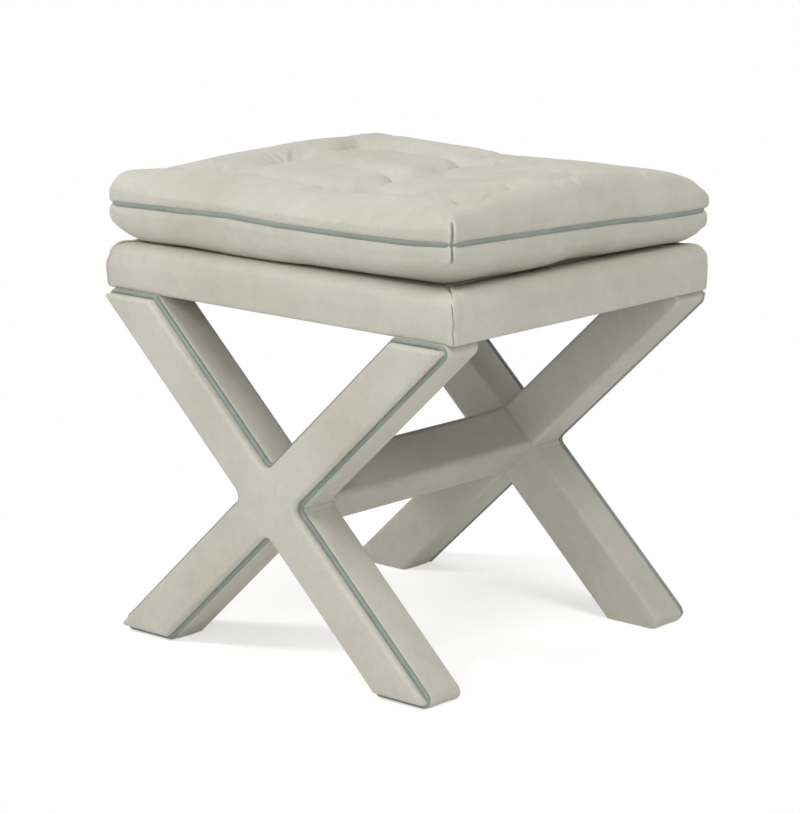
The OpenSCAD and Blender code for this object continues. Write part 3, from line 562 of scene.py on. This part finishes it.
def deck_leather():
    """The deck's leather as one skin, cut into three pieces along the seams at its corners."""
    edge = [0, 0.35, 1.0, 2.2, 4.0, 6.4, 9.2, 12.4, 16, 22, 29, 36, DECK_SEAM_IN]
    gx, gy, plan, inset, rim, shape = rounded_grid(DECK_X, DECK_Y, DECK_R, edge, 8.0)
    in_x, in_y = DECK_X - np.abs(gx), DECK_Y - np.abs(gy)
    z1 = DECK_Z1 - DECK_ROLL
    roll = np.sqrt(np.clip(1 - (1 - np.minimum(inset / DECK_ROLL, 1)) ** 2, 0, 1))
    direction = outward(plan, DECK_X, DECK_Y, DECK_R)
    direction[inset > DECK_ROLL] = 0
    top = np.column_stack([plan + direction * (1.2 * np.exp(-inset / 4.0))[:, None], z1 + DECK_ROLL * roll])
    n, base, rim_p, out = len(rim), len(top), plan[rim], direction[rim]
    fuller = (1.3 * nearness(rim_p[:, 0], rim_p[:, 1], -DECK_X, -DECK_Y, 110.0)
              + 0.25 * ripple(np.column_stack([rim_p, np.zeros(n)]), 0.013, 4.2))
    rows = [np.column_stack([rim_p + out * (off + max(off, 0) * fuller)[:, None], np.full(n, z1 - down)])
            for down, off in DECK_SIDE]
    verts = np.vstack([top] + rows)
    corner = np.copysign([DECK_X - DECK_R * CORNER_IN, DECK_Y - DECK_R * CORNER_IN], rim_p)
    seam_d = np.concatenate([np.where(inset < DECK_SEAM_IN, np.abs(in_x - in_y) / math.sqrt(2), 99)]
                            + [np.hypot(*(rim_p - corner).T)] * len(rows))
    inset = np.concatenate([inset, np.zeros(n * len(rows))])
    upward = np.where((inset[:base] < 4)[:, None], np.column_stack([direction, np.full(base, 0.3)]),
                      np.array([0, 0, 1.0]))
    face_out = np.vstack([upward] + [np.column_stack([out, np.zeros(n)])] * len(rows))
    along = np.column_stack([-face_out[:, 1], face_out[:, 0], np.zeros(len(verts))])
    # the corner seams wave a little, and lean to one side at their top
    bow = (0.8 * np.sin((verts[:, 2] - 430) * 0.34)
           - 3.2 * soft_step((verts[:, 2] - 424) / 16) * (inset < 12))
    verts += along * (bow * np.exp(-seam_d / 6))[:, None]

    sides = {name: [] for name in ("deck_cover", "deck_side_panel_left", "deck_side_panel_right")}

    def give(face, on_side):
        side = "left" if verts[list(face), 0].mean() < 0 else "right"
        sides["deck_side_panel_" + side if on_side else "deck_cover"].append(face)

    for f in strip_faces(*shape, flip=True):
        ids = list(f)
        mid_x, mid_y = in_x[ids].mean(), in_y[ids].mean()
        if abs(mid_x - mid_y) < 0.01 and mid_x < DECK_SEAM_IN:
            even = gx[ids].mean() * gy[ids].mean() > 0
            for half in ((0, 1, 3), (1, 2, 3)) if even else ((0, 1, 2), (0, 2, 3)):
                tri = tuple(ids[k] for k in half)
                give(tri, in_x[list(tri)].mean() < in_y[list(tri)].mean())
        else:
            give(f, mid_x < mid_y and mid_x < DECK_SEAM_IN)
    for k, f in enumerate(skirt_faces(rim, len(rows), base)):
        ends = [rim[k % n], rim[(k + 1) % n]]
        give(f, bool((in_x[ends] < 0.01).all()))
    for name, keep in sides.items():
        used, faces = only_used(keep)
        d = seam_d[used]
        lift = -1.5 * np.exp(-d / 1.5) if name == "deck_cover" else 1.1 * np.exp(-(d / 2.8) ** 2)
        piece(name, verts[used] + face_out[used] * lift[:, None], faces, "base", "body_leather", 2.0)


deck_leather()


# ---- cushion
# crest heights over the cushion, in rows from the front to the back
CREST_X = np.array([-209.0, -105, 0, 105, 209])
CREST_Y = np.array([-179.0, -90, 0, 90, 179])
CREST_Z = np.array([
    [524.0, 521.5, 521.0, 523.5, 530.0],
    [529.3, 526.0, 526.0, 530.0, 538.0],
    [533.2, 531.0, 532.0, 535.0, 541.0],
    [533.5, 530.0, 529.5, 532.0, 539.0],
    [530.4, 522.5, 520.5, 522.5, 529.9]])
TUFTS = ((-174, -118, 507), (12, -118, 502), (186, -118, 508), (-174, 0, 512), (12, 0, 504), (188, 2, 511),
         (-174, 120, 513), (12, 120, 507), (188, 122, 508))
# each corner: place, droop of the crest and its reach, width of the roll there
CORNERS = ((252, -222, -1.8, 45, 14), (-252, -222, 3.4, 40, 18), (253, 223, -13.3, 45, 18),
           (-252, 222, -5.8, 45, 18))
ROLL_WIDTH, ROLL_REACH = 38.0, 60.0
WALL_UP, WALL_DOWN, BOTTOM_ROLL = 8.0, 15.0, 52.0
# share of the tufts' pull that is taken back between them, and the distances over which that grows
TUFT_HOLD, PILLOW_FROM, PILLOW_TO = 0.55, 8.0, 54.0
CORNER_SIGNS = ((1, -1), (-1, -1), (1, 1), (-1, 1))
LIP, DART_START = 0.25, 2.0  # a crease's lips, as a share of its depth; a dart's distance from the welt


def welt_z(x, y):
    """Height of the cushion's welt round the rim."""
    t = (x / CUSHION_X + 1) / 2
    front = np.interp(x, [-249, -150, -70, 0, 120, 200, 249], [489, 491, 493.5, 491.5, 492, 494, 498])
    right = np.interp(y, [-219, -60, 60, 120, 219], [498, 493, 489, 485.5, 482.5])
    back = 486 + 3 * (1 - t)
    left = np.full(len(y), 489.0)
    weights = np.stack([np.exp(-(y + CUSHION_Y) / 25), np.exp(-(CUSHION_X - x) / 25),
                        np.exp(-(CUSHION_Y - y) / 25), np.exp(-(x + CUSHION_X) / 25)])
    heights = np.stack([front, right, back, left])
    return (weights * heights).sum(axis=0) / weights.sum(axis=0)


def lagrange(nodes, q):
    out = []
    for i, a in enumerate(nodes):
        w = np.ones_like(q)
        for j, b in enumerate(nodes):
            if i != j:
                w = w * (q - b) / (a - b)
        out.append(w)
    return np.stack(out)


def crest_z(x, y):
    wx = lagrange(CREST_X, np.clip(x, -215, 215))
    wy = lagrange(CREST_Y, np.clip(y, -186, 186))
    return np.einsum("jn,ji,in->n", wy, CREST_Z, wx)


def drawn_in(plan):
    """Plan points with the cushion's sides pulled in between its corners."""
    x, y = plan[:, 0] / CASE_X, plan[:, 1] / CASE_Y
    pull = np.column_stack([-np.sign(x) * np.clip(1 - y ** 2, 0, 1) * np.abs(x) ** 3,
                            -np.sign(y) * np.clip(1 - x ** 2, 0, 1) * np.abs(y) ** 3])
    return plan + pull * SIDE_PULL


def roll_share(gx, gy, width):
    """1 at the rim, 0 where the roll of the given width meets the flat."""
    bx = np.clip(1 - (CASE_X - np.abs(gx)) / width, 0, 1)
    by = np.clip(1 - (CASE_Y - np.abs(gy)) / width, 0, 1)
    return np.clip((bx ** 4 + by ** 4 - (bx * by) ** 4) ** 0.25, 0, 1)


def rolled(share):
    """Height of the roll: 1 where it meets the flat, 0 at the rim."""
    return (1 - share ** 2.2) ** 0.55


def rim_rows(rim_p, levels):
    """Rows that follow a casing's rim, at heights over the welt and distances out."""
    out, w = outward(rim_p, CASE_X, CASE_Y, CASE_R), welt_z(rim_p[:, 0], rim_p[:, 1])
    return [np.column_stack([rim_p + out * off, w + up]) for up, off in levels]


def top_mesh():
    """The upper casing before it is sewn down, with what cushion_top needs to know of it."""
    edge = [0, 0.7, 1.6, 2.8, 4.4, 6.4, 9.5, 14, 19, 24]
    gx, gy, plan, inset, rim, shape = rounded_grid(CASE_X, CASE_Y, CASE_R, edge, 5.0)
    x, y = plan[:, 0], plan[:, 1]
    z_in, width = crest_z(x, y), ROLL_WIDTH
    for cx, cy, lift, size, corner_width in CORNERS:
        z_in = z_in + lift * nearness(x, y, cx, cy, size)
        width = width + (corner_width - ROLL_WIDTH) * nearness(x, y, cx, cy, ROLL_REACH)
    wall = welt_z(x, y) + WALL_UP
    plan = drawn_in(plan)
    top = np.column_stack([plan, wall + (z_in - wall) * rolled(roll_share(gx, gy, width))])
    rows = rim_rows(plan[rim], ((5, 0.6), (2.8, -0.4), (1.2, -1.8), (0.6, -4.0)))
    faces = strip_faces(*shape, flip=True) + skirt_faces(rim, len(rows), len(top))
    inset = np.concatenate([inset] + [np.zeros(len(rim))] * len(rows))
    return np.vstack([top] + rows), faces, inset, len(top), len(rim)


FRAMES, PRESSURE, GROWTH, STIFFNESS, BENDING = 24, 5.0, 0.012, 15.0, 0.8


def sew(verts, faces, pinned, pulled):
    """Inflates the casing as cloth while its tufts are drawn down, and returns where it settles."""
    mesh = bpy.data.meshes.new("sewing")
    mesh.from_pydata((verts * MM).tolist(), [], faces)
    obj = link(bpy.data.objects.new("sewing", mesh))
    obj.vertex_groups.new(name="pin").add([int(i) for i in pinned], 1.0, "REPLACE")
    obj.shape_key_add(name="rest")
    key = obj.shape_key_add(name="pulled")
    key.data.foreach_set("co", (pulled * MM).ravel())
    cloth = obj.modifiers.new("cloth", "CLOTH")
    c = cloth.settings
    c.quality = 7
    c.mass = 0.25
    c.tension_stiffness = c.compression_stiffness = STIFFNESS
    c.shear_stiffness = STIFFNESS * 0.5
    c.bending_stiffness = BENDING
    c.tension_damping = c.compression_damping = 8
    c.air_damping = 3
    c.vertex_group_mass = "pin"
    c.use_pressure = True
    c.uniform_pressure_force = PRESSURE
    c.shrink_min = -GROWTH
    c.effector_weights.gravity = 0
    cloth.collision_settings.use_collision = False
    cloth.point_cache.frame_start = 1
    cloth.point_cache.frame_end = FRAMES
    scene = bpy.context.scene
    for value, at in ((0.0, 1), (1.0, FRAMES // 2)):
        key.value = value
        key.keyframe_insert("value", frame=at)
    for f in range(1, FRAMES + 1):
        scene.frame_set(f)
    co, _ = read_points(evaluated(obj).data)
    bpy.data.objects.remove(obj)
    scene.frame_set(1)
    return co


def refine(obj):
    """Subdivides a piece once and for good, and returns its points and normals."""
    div = obj.modifiers.new("smooth", "SUBSURF")
    div.levels = div.render_levels = 1
    obj.modifiers.move(len(obj.modifiers) - 1, 0)
    skins = [m for m in obj.modifiers if m != div]
    for m in skins:
        m.show_viewport = False
    mesh = bpy.data.meshes.new_from_object(evaluated(obj))
    for m in skins:
        m.show_viewport = True
    obj.modifiers.remove(div)
    old, obj.data = obj.data, mesh
    bpy.data.meshes.remove(old)
    mesh.shade_smooth()
    return read_points(mesh)


def put_back(obj, co):
    obj.data.vertices.foreach_set("co", (co * MM).ravel())
    obj.data.update()


def press(co, nor, line, depth, width, where=1.0, taper=True):
    """Presses a crease along a polyline, in plan or in space, into the surface, with soft lips beside it."""
    best = np.full(len(co), 1e9)
    share = np.zeros(len(co))
    count = len(line) - 1
    for k in range(count):
        a, b = np.array(line[k], float), np.array(line[k + 1], float)
        ab = b - a
        from_a = co[:, :len(a)] - a
        s = np.clip(from_a @ ab / (ab @ ab), 0, 1)
        d = np.linalg.norm(from_a - s[:, None] * ab, axis=1)
        nearer = d < best
        best = np.where(nearer, d, best)
        share = np.where(nearer, (k + s) / count, share)
    fade = np.clip(np.minimum(share * 5, (1 - share) * 2.2), 0, 1) if taper else 1.0
    shape = np.exp(-(best / width) ** 2) - LIP * np.exp(-((best - 2.3 * width) / width) ** 2)
    return co - nor * (depth * shape * fade * where)[:, None]


def cushion_top():
    """Upper casing: sewn down at the tufts, then creased, and swollen a little at its sides."""
    verts, faces, inset, base, rim_n = top_mesh()
    pins = list(range(len(verts) - rim_n, len(verts)))
    pulled = verts.copy()
    for tx, ty, tz in TUFTS:
        near = np.argsort(np.hypot(verts[:base, 0] - tx, verts[:base, 1] - ty))[:4]
        pins += list(near)
        pulled[near, 2] = tz
    tuft_d = [np.hypot(verts[:, 0] - tx, verts[:, 1] - ty) for tx, ty, _ in TUFTS]
    # the pillows between the tufts stay puffed up: away from the tufts less of the pull is kept
    kept = 1 - TUFT_HOLD * soft_step((np.min(tuft_d, axis=0) - PILLOW_FROM) / (PILLOW_TO - PILLOW_FROM))
    move = (sew(verts, faces, pins, pulled) - verts) * soft_step((inset - 6) / 42)[:, None]
    move[:, 2] *= np.where(move[:, 2] < 0, kept, 1)
    verts = verts + move
    obj = piece("cushion_top_casing", verts, faces, "cushion", "body_leather", 2.0)
    co, nor = refine(obj)
    upper = np.clip((nor[:, 2] - 0.2) / 0.5, 0, 1)
    rng = np.random.default_rng(11)
    for tx, ty, _ in TUFTS:
        turn = rng.uniform(0, 2 * math.pi)
        for k in range(8):
            a = turn + 2 * math.pi * k / 8 + rng.uniform(-0.25, 0.25)
            far, bend = rng.uniform(20, 52), rng.uniform(-0.35, 0.35)
            line = [(tx + r * math.cos(at), ty + r * math.sin(at))
                    for r, at in ((3, a), (far * 0.5, a), (far, a + bend))]
            co = press(co, nor, line, rng.uniform(1.2, 3.0), rng.uniform(2.5, 3.8), where=upper)
    for line, depth, width in TOP_VALLEYS:
        co = press(co, nor, line, depth, width, where=upper, taper=False)
    for line, depth, width in TOP_CREASES:
        co = press(co, nor, line, depth, width, where=upper)
    over = co[:, 2] - welt_z(co[:, 0], co[:, 1])
    wall = np.clip((over - 3) / 6, 0, 1) * np.clip((34 - over) / 12, 0, 1)
    belly = np.sin(math.pi * np.clip((over - 1) / 30, 0, 1)) * (1 - upper)
    right_corner = nearness(co[:, 0], co[:, 1], CASE_X, CASE_Y, 60.0)
    co = co + nor * (0.9 * ripple(co * (1, 1, 0.35), 0.03, 5.5) * wall + 0.5 * ripple(co, 0.011, 8.5) * upper
                     + (1.8 + 2.2 * right_corner) * belly)[:, None]
    co = darts(co, nor, 25.0, 1)
    for x in (2.0, -108.0, 96.0):
        co = press(co, nor, [(x, -CASE_Y + 2, 497), (x + 2, -CASE_Y + 2, 512)], 0.9, 2.4)
    for y in (-120.0, 40.0, 133.0):
        co = press(co, nor, [(CASE_X - 2, y, 494), (CASE_X - 2, y + 4, 508)], 0.8, 2.4)
    put_back(obj, co)
    return co


def darts(co, nor, end, way):
    """A sewn dart at each corner of the cushion, from the welt up (way 1) or down (way -1)."""
    for sx, sy in CORNER_SIGNS:
        cx, cy = sx * (CASE_X - CASE_R * CORNER_IN), sy * (CASE_Y - CASE_R * CORNER_IN)
        z = float(welt_z(np.array([cx]), np.array([cy]))[0])
        along = ((co[:, 0] - cx) * -sy + (co[:, 1] - cy) * sx) / math.sqrt(2)
        near = np.hypot(co[:, 0] - cx, co[:, 1] - cy) < 22
        up = way * (co[:, 2] - z)
        fade = np.clip((up - DART_START + 2) / 3, 0, 1) * np.clip((end - up) / 4, 0, 1)
        bow = along - 0.7 * np.sin((up - DART_START) / (end - DART_START) * math.pi)
        slit = 6.5 * np.exp(-(bow / 0.85) ** 2) - 1.0 * np.exp(-((np.abs(bow) - 3.0) / 1.6) ** 2)
        co = co - nor * (slit * fade * near)[:, None]
    return co


# valleys between the tufts and creases on the top, as plan polylines with their depth and width
TOP_VALLEYS = (
    (((-174, -118), (-140, -114), (-92, -110), (-40, -122), (12, -118), (70, -108), (128, -120), (186, -118)),
     8.8, 13.0),
    (((-150, 3), (-112, 7), (-50, -7), (12, 0), (72, 9), (130, -5), (188, 2)), 8.0, 13.0),
    (((-174, 120), (-112, 126), (-50, 115), (12, 120), (72, 126), (130, 117), (188, 122)), 6.8, 13.0),
    (((12, -118), (22, -60), (12, 0), (2, 60), (12, 120)), 8.8, 12.0),
    (((186, -118), (178, -58), (188, 2), (180, 62), (188, 122)), 7.4, 12.0),
    (((-174, -118), (-166, -58), (-174, 0), (-180, 60), (-174, 120)), 3.6, 12.0),
)
TOP_CREASES = (
    (((12, -118), (-40, -122), (-86, -110)), 2.4, 3.0),
    (((12, -118), (66, -106), (110, -118)), 2.2, 3.0),
    (((12, -118), (24, -70), (16, -36)), 2.2, 3.0),
    (((12, 0), (-44, -8), (-90, 4)), 2.1, 3.0),
    (((12, 0), (62, 10), (104, 0)), 2.2, 3.0),
    (((186, -118), (176, -70), (182, -36)), 2.1, 3.0),
    (((188, 2), (176, 50), (182, 88)), 2.0, 3.0),
    (((12, -118), (4, -150), (10, -190)), 3.6, 5.0),
    (((12, -118), (34, -146), (44, -180)), 2.2, 3.4),
    (((-174, -118), (-190, -150), (-182, -192)), 3.0, 4.6),
    (((186, -118), (200, -150), (222, -178)), 2.7, 4.2),
    (((188, 2), (214, 10), (238, 4)), 3.0, 5.0),
    (((188, 122), (214, 130), (238, 120)), 2.7, 4.6),
    (((188, 2), (210, -14), (234, -26)), 1.8, 3.0),
)
# height of the underside's edge over its even shape, along the front and along the right side
FRONT_WAVE = ((-253, -216, -150, -78, -20, 30, 102, 172, 213, 241), (5, -1, -2, -5, -4.5, -1, 1, 3, 5, 7))
RIGHT_WAVE = ((-209, -162, -113, -63, -29, 5, 40, 75, 130, 193, 223), (6, 3.5, 2.5, 0, 1, 4, 3.5, 0, 0, 0, 3))
# puckers of the lower casing: both ends, along the side and up, and the depth
FRONT_FOLDS = (((-72, 484), (-60, 462), 1.6), ((-24, 478), (-18, 456), 1.3), ((236, 484), (226, 464), 1.2),
               ((230, 480), (216, 462), 0.9), ((-242, 480), (-232, 462), 1.6), ((-160, 480), (-168, 462), 0.8),
               ((96, 482), (108, 462), 0.8))
RIGHT_FOLDS = (((-84, 482), (-60, 462), 1.2), ((-48, 480), (-26, 462), 1.2), ((206, 474), (214, 458), 1.6),
               ((-196, 484), (-184, 464), 0.9), ((92, 474), (104, 460), 0.8))


def cushion_bottom():
    """Lower casing: flat on the deck, with a wavy rolled edge, darts and puckers."""
    edge = [0, 0.7, 1.6, 2.8, 4.4, 6.4, 9, 12.5, 17, 22, 28, 36, 46]
    gx, gy, plan, _, rim, shape = rounded_grid(CASE_X, CASE_Y, CASE_R, edge, 9.0)
    x, y = plan[:, 0], plan[:, 1]
    width = BOTTOM_ROLL
    for sx, sy, less in ((1, 1, 16), (1, -1, 6), (-1, 1, 20), (-1, -1, 24)):
        width = width - less * nearness(x, y, sx * CASE_X, sy * CASE_Y, 75.0)
    share = roll_share(gx, gy, width)
    z = DECK_Z1 + (welt_z(x, y) - WALL_DOWN - DECK_Z1) * (1 - rolled(share))
    front, side = np.exp(-(y + CASE_Y) / 30), np.exp(-(CASE_X - x) / 30)
    back = np.exp(-(CASE_Y - y) / 30) + np.exp(-(x + CASE_X) / 30)
    wave = (1.8 * (front * np.interp(x, *FRONT_WAVE) + side * np.interp(y, *RIGHT_WAVE))
            + 3.0 * back * np.sin(x * 0.021 + y * 0.027))
    z = np.maximum(z + wave * np.sin(math.pi * share) ** 0.8, DECK_Z1 + 0.05)
    plan = drawn_in(plan)
    rows = rim_rows(plan[rim], ((-12, 0.7), (-9, 0.9), (-6, 0.7), (-4, 0.1), (-2.6, -0.9), (-1.6, -2.2),
                                (-1.0, -4.5)))
    faces = strip_faces(*shape) + skirt_faces(rim, len(rows), len(plan), flip=True)
    obj = piece("cushion_bottom_casing", np.vstack([np.column_stack([plan, z])] + rows), faces, "cushion",
                "body_leather", 2.0)
    co, nor = refine(obj)
    wall = np.clip((co[:, 2] - 446) / 8, 0, 1) * np.clip((welt_z(co[:, 0], co[:, 1]) - 4 - co[:, 2]) / 6, 0, 1)
    co = co + nor * (1.2 * ripple(co * (1, 1, 0.3), 0.024, 2.5) * wall)[:, None]
    co = darts(co, nor, 22.0, -1)
    for (x0, z0), (x1, z1), depth in FRONT_FOLDS:
        co = press(co, nor, [(x0, -CASE_Y + 2, z0), (x1, -CASE_Y + 3, z1)], depth, 2.8)
    for (y0, z0), (y1, z1), depth in RIGHT_FOLDS:
        co = press(co, nor, [(CASE_X - 2, y0, z0), (CASE_X - 3, y1, z1)], depth, 2.8)
    co[:, 2] = np.maximum(co[:, 2], DECK_Z1 + 0.02)
    put_back(obj, co)
    return co


def cushion_welt():
    """The welt round the cushion, a little uneven, with a lump at each join."""
    r, tube, turns, joins = 12.0, 3.4, 14, ((-145.5, -CASE_Y), (CASE_X, 10.7))
    hx, hy = CASE_X - 2.4, CASE_Y - 2.4
    pts = []
    for sx, sy in ((1, -1), (1, 1), (-1, 1), (-1, -1)):
        a0 = math.atan2(sy, sx) - math.pi / 4
        pts += [np.array([sx * (hx - r) + r * math.cos(a), sy * (hy - r) + r * math.sin(a)])
                for a in np.linspace(a0, a0 + math.pi / 2, 13)]
    loop = []
    for i, p in enumerate(pts):
        q = pts[(i + 1) % len(pts)]
        n = max(1, int(np.linalg.norm(q - p) / 3))
        loop += [p + (q - p) * k / n for k in range(n)]
    loop = drawn_in(np.array(loop))
    side, z = beside(loop), welt_z(loop[:, 0], loop[:, 1])
    p3 = np.column_stack([loop, z])
    z = z + 0.5 * ripple(p3, 0.03, 9.1)
    size = tube + 0.12 * ripple(p3, 0.05, 1.3)
    for jx, jy in joins:
        d = np.hypot(loop[:, 0] - jx, loop[:, 1] - jy)
        size += 0.5 * np.exp(-(d / 7) ** 2) - 0.7 * np.exp(-((d - 2) / 1.8) ** 2)
    rings = [np.column_stack([loop + side * size[:, None] * math.cos(a), z + size * math.sin(a)])
             for a in circle(turns)]
    return piece("cushion_welt", np.vstack(rings), tube_faces(turns, len(loop)), "cushion", "welt_leather")


def tufting_ties():
    """Twine from the underside up to each tuft, with a knot at both ends."""
    turns, radius, verts, faces = 8, 1.0, [], []
    for tx, ty, tz in TUFTS:
        low, high = DECK_Z1 + 5.6, tz - 6
        profile = [(DECK_Z1 + 3.0, 0.1), (DECK_Z1 + 3.3, 2.2), (DECK_Z1 + 5.0, 2.4), (low, 1.0)]
        profile += [(low + (high - low) * k / 12, radius) for k in range(1, 13)]
        profile += [(tz - 5.4, 2.2), (tz - 4.4, 2.0), (tz - 4.0, 0.1)]
        start, end = len(verts), len(verts) + turns * len(profile)
        for k, (z, r) in enumerate(profile):
            verts += [(tx + r * math.cos(a + 0.3 * k), ty + r * math.sin(a + 0.3 * k), z) for a in circle(turns)]
        faces += strip_faces(len(profile), turns, loop=True, start=start)
        faces += [tuple(range(start + turns - 1, start - 1, -1)), tuple(range(end - turns, end))]
    return piece("tufting_ties", verts, faces, "cushion", "twine")


tufting_ties()
TOP_CO = cushion_top()
BOTTOM_CO = cushion_bottom()
cushion_welt()


# ---- soft fillings out of sight
def nearest_z(surface, points):
    """Height of a cloud of surface points at the plan places of other points."""
    tree = KDTree(len(surface))
    for i, (x, y, _) in enumerate(surface):
        tree.insert((x, y, 0), i)
    tree.balance()
    out = np.empty(len(points))
    for i, (x, y, _) in enumerate(points):
        found = tree.find_n((x, y, 0), 4)
        out[i] = sum(surface[j][2] for _, j, _ in found) / len(found)
    return out


def filling(name, body, slot, voxel, shrink=0.4, under=None, over=None):
    """A soft copy of a filling: remeshed, smoothed, drawn in a little and kept inside its cover."""
    obj = link(bpy.data.objects.new(name + "_soft", NODES[name].data.copy()))
    remesh = obj.modifiers.new("remesh", "REMESH")
    remesh.mode = "VOXEL"
    remesh.voxel_size = voxel * MM
    smooth = obj.modifiers.new("smooth", "SMOOTH")
    smooth.factor = 0.5
    smooth.iterations = 3
    soft = bpy.data.meshes.new_from_object(evaluated(obj))
    obj.modifiers.clear()
    obj.data = soft
    co, nor = read_points(soft)
    co -= nor * (shrink + 0.25 * ripple(co, 0.05, 7.0)[:, None])
    if over:
        co[:, 2] = np.maximum(co[:, 2], nearest_z(over[0], co) + over[1])
    if under:
        co[:, 2] = np.minimum(co[:, 2], nearest_z(under[0], co) - under[1])
    put_back(obj, co)
    soft.shade_smooth()
    soft.materials.clear()
    soft.materials.append(SURFACES[slot])
    dress(obj, body, name)


for part, voxel in (("front_leg_wadding", 3.4), ("back_leg_wadding", 3.4), ("front_leg_face_pad", 3.0),
                    ("back_leg_face_pad", 3.0), ("stretcher_wadding", 3.4), ("deck_pad", 4.5)):
    filling(part, "base", "wadding", voxel, shrink=2.0 if part == "deck_pad" else 0.4)
inner_top, inner_bottom = (co[(np.abs(co[:, 0]) < CASE_X - 1) & (np.abs(co[:, 1]) < CASE_Y - 1)]
                           for co in (TOP_CO, BOTTOM_CO))
for part, slot_name, voxel, gap in (("cushion_fibre_topper", "wadding", 5.0, 3.5),
                                    ("cushion_foam_core", "foam", 6.0, 6.0)):
    filling(part, "cushion", slot_name, voxel, under=(inner_top, gap), over=(inner_bottom, 3.0))

# ---- finishes of the rigid parts
for node in NODES.values():
    for holder in node.material_slots:
        key = holder.material.name if holder.material else ""
        for slot_name, finish in FINISHES.items():
            if slot_name in key:
                holder.material = finish
                break

# ---- camera, as solved from the photograph
FOCAL_PX, AZ, EL, ROLL = 3184.7, math.radians(41.1939), math.radians(12.583), math.radians(0.2264)
SHIFT_X, SHIFT_Y, DIST, TARGET_Z = 8.4304, 13.4614, 3603.0, 270.6
LONG_SIDE_PX, SENSOR = 813, 36.0
back = Vector((math.sin(AZ) * math.cos(EL), -math.cos(AZ) * math.cos(EL), math.sin(EL)))
right0 = Vector((math.cos(AZ), math.sin(AZ), 0))
up0 = back.cross(right0)
right = math.cos(ROLL) * right0 + math.sin(ROLL) * up0
up = -math.sin(ROLL) * right0 + math.cos(ROLL) * up0
camera = link(bpy.data.objects.new("camera", bpy.data.cameras.new("camera")))
camera.data.sensor_width = SENSOR
camera.data.lens = FOCAL_PX * SENSOR / LONG_SIDE_PX
camera.data.clip_end = 50
place = (Vector((0, 0, TARGET_Z)) + back * DIST - right * SHIFT_X - up * SHIFT_Y) * MM
turn = Matrix((right, up, back)).transposed().to_4x4()
camera.matrix_world = Matrix.Translation(place) @ turn
bpy.context.scene.camera = camera


# ---- floor and light
WHITE = (1, 1, 1, 1)
FLOOR_HALF, FLOOR_LINES, FLOOR_LIFT = 6.0, 24, 0.50
LIT_TO, WHITE_FROM = 0.34, 0.72  # how far from the middle the floor is lit, and from where it is plain
SKY = 0.27
# name, place in metres, side of the square in metres, power in watts
LAMPS = (("key", (-1.1, -2.2, 2.4), 0.7, 37), ("top", (-0.2, 0.5, 3.2), 1.2, 9),
         ("fill", (2.0, -0.5, 3.0), 1.4, 36), ("front", (2.6, -2.9, 1.3), 1.6, 26))
LAMP_AIM = Vector((0, 0, 0.3))


def seen_directly(tree):
    """1 for rays that come straight from the camera or by way of metal or glass, else 0."""
    rays = add(tree, "LightPath")
    found = rays.outputs["Is Camera Ray"]
    for other in ("Is Glossy Ray", "Is Transmission Ray"):
        found = add(tree, "Math", {0: found, 1: rays.outputs[other]}, operation="MAXIMUM").outputs["Value"]
    return found


def floor():
    """White ground: lit near the object, so that it keeps the shadow, and plain white farther off."""
    lines = np.linspace(-FLOOR_HALF, FLOOR_HALF, FLOOR_LINES)
    mesh = bpy.data.meshes.new("floor")
    mesh.from_pydata([(x, y, 0) for x in lines for y in lines], [],
                     strip_faces(FLOOR_LINES, FLOOR_LINES, flip=True))
    m = bpy.data.materials.new("white_floor")
    m.use_nodes = True
    tree = m.node_tree
    shader = feed(tree, tree.nodes["Principled BSDF"],
                  {"Base Color": (0.92, 0.92, 0.92, 1), "Roughness": 0.9, "Specular IOR Level": 0.1})
    seen = seen_directly(tree)
    strength = add(tree, "MapRange", {"Value": seen, "To Max": FLOOR_LIFT}).outputs["Result"]
    lift = add(tree, "Emission", {"Color": WHITE, "Strength": strength})
    lit = add(tree, "AddShader", {0: shader.outputs["BSDF"], 1: lift.outputs["Emission"]})
    place = add(tree, "TexCoord").outputs["Object"]
    distance = add(tree, "VectorMath", {0: place}, operation="LENGTH").outputs["Value"]
    away = add(tree, "MapRange", {"Value": distance, "From Min": LIT_TO, "From Max": WHITE_FROM},
               interpolation_type="SMOOTHSTEP").outputs["Result"]
    share = add(tree, "Math", {0: away, 1: seen}, operation="MULTIPLY").outputs["Value"]
    plain = add(tree, "Emission", {"Color": WHITE})
    mix = add(tree, "MixShader", {"Fac": share, 1: lit.outputs["Shader"], 2: plain.outputs["Emission"]})
    feed(tree, tree.nodes["Material Output"], {"Surface": mix.outputs["Shader"]})
    mesh.materials.append(m)
    link(bpy.data.objects.new("floor", mesh))


floor()
for name, place, size, power in LAMPS:
    data = bpy.data.lights.new(name, "AREA")
    data.shape = "RECTANGLE"
    data.size = data.size_y = size
    data.energy = power
    lamp = link(bpy.data.objects.new(name, data))
    lamp.location = place
    lamp.rotation_euler = (LAMP_AIM - Vector(place)).to_track_quat("-Z", "Y").to_euler()

world = bpy.data.worlds.new("studio")
bpy.context.scene.world = world
world.use_nodes = True
tree = world.node_tree
sky = feed(tree, tree.nodes["Background"], {"Color": WHITE, "Strength": SKY})
seen_sky = add(tree, "Background", {"Color": WHITE})
mix = add(tree, "MixShader", {"Fac": seen_directly(tree), 1: sky.outputs["Background"],
                              2: seen_sky.outputs["Background"]})
feed(tree, tree.nodes["World Output"], {"Surface": mix.outputs["Shader"]})

bpy.context.scene.view_settings.view_transform = "Standard"
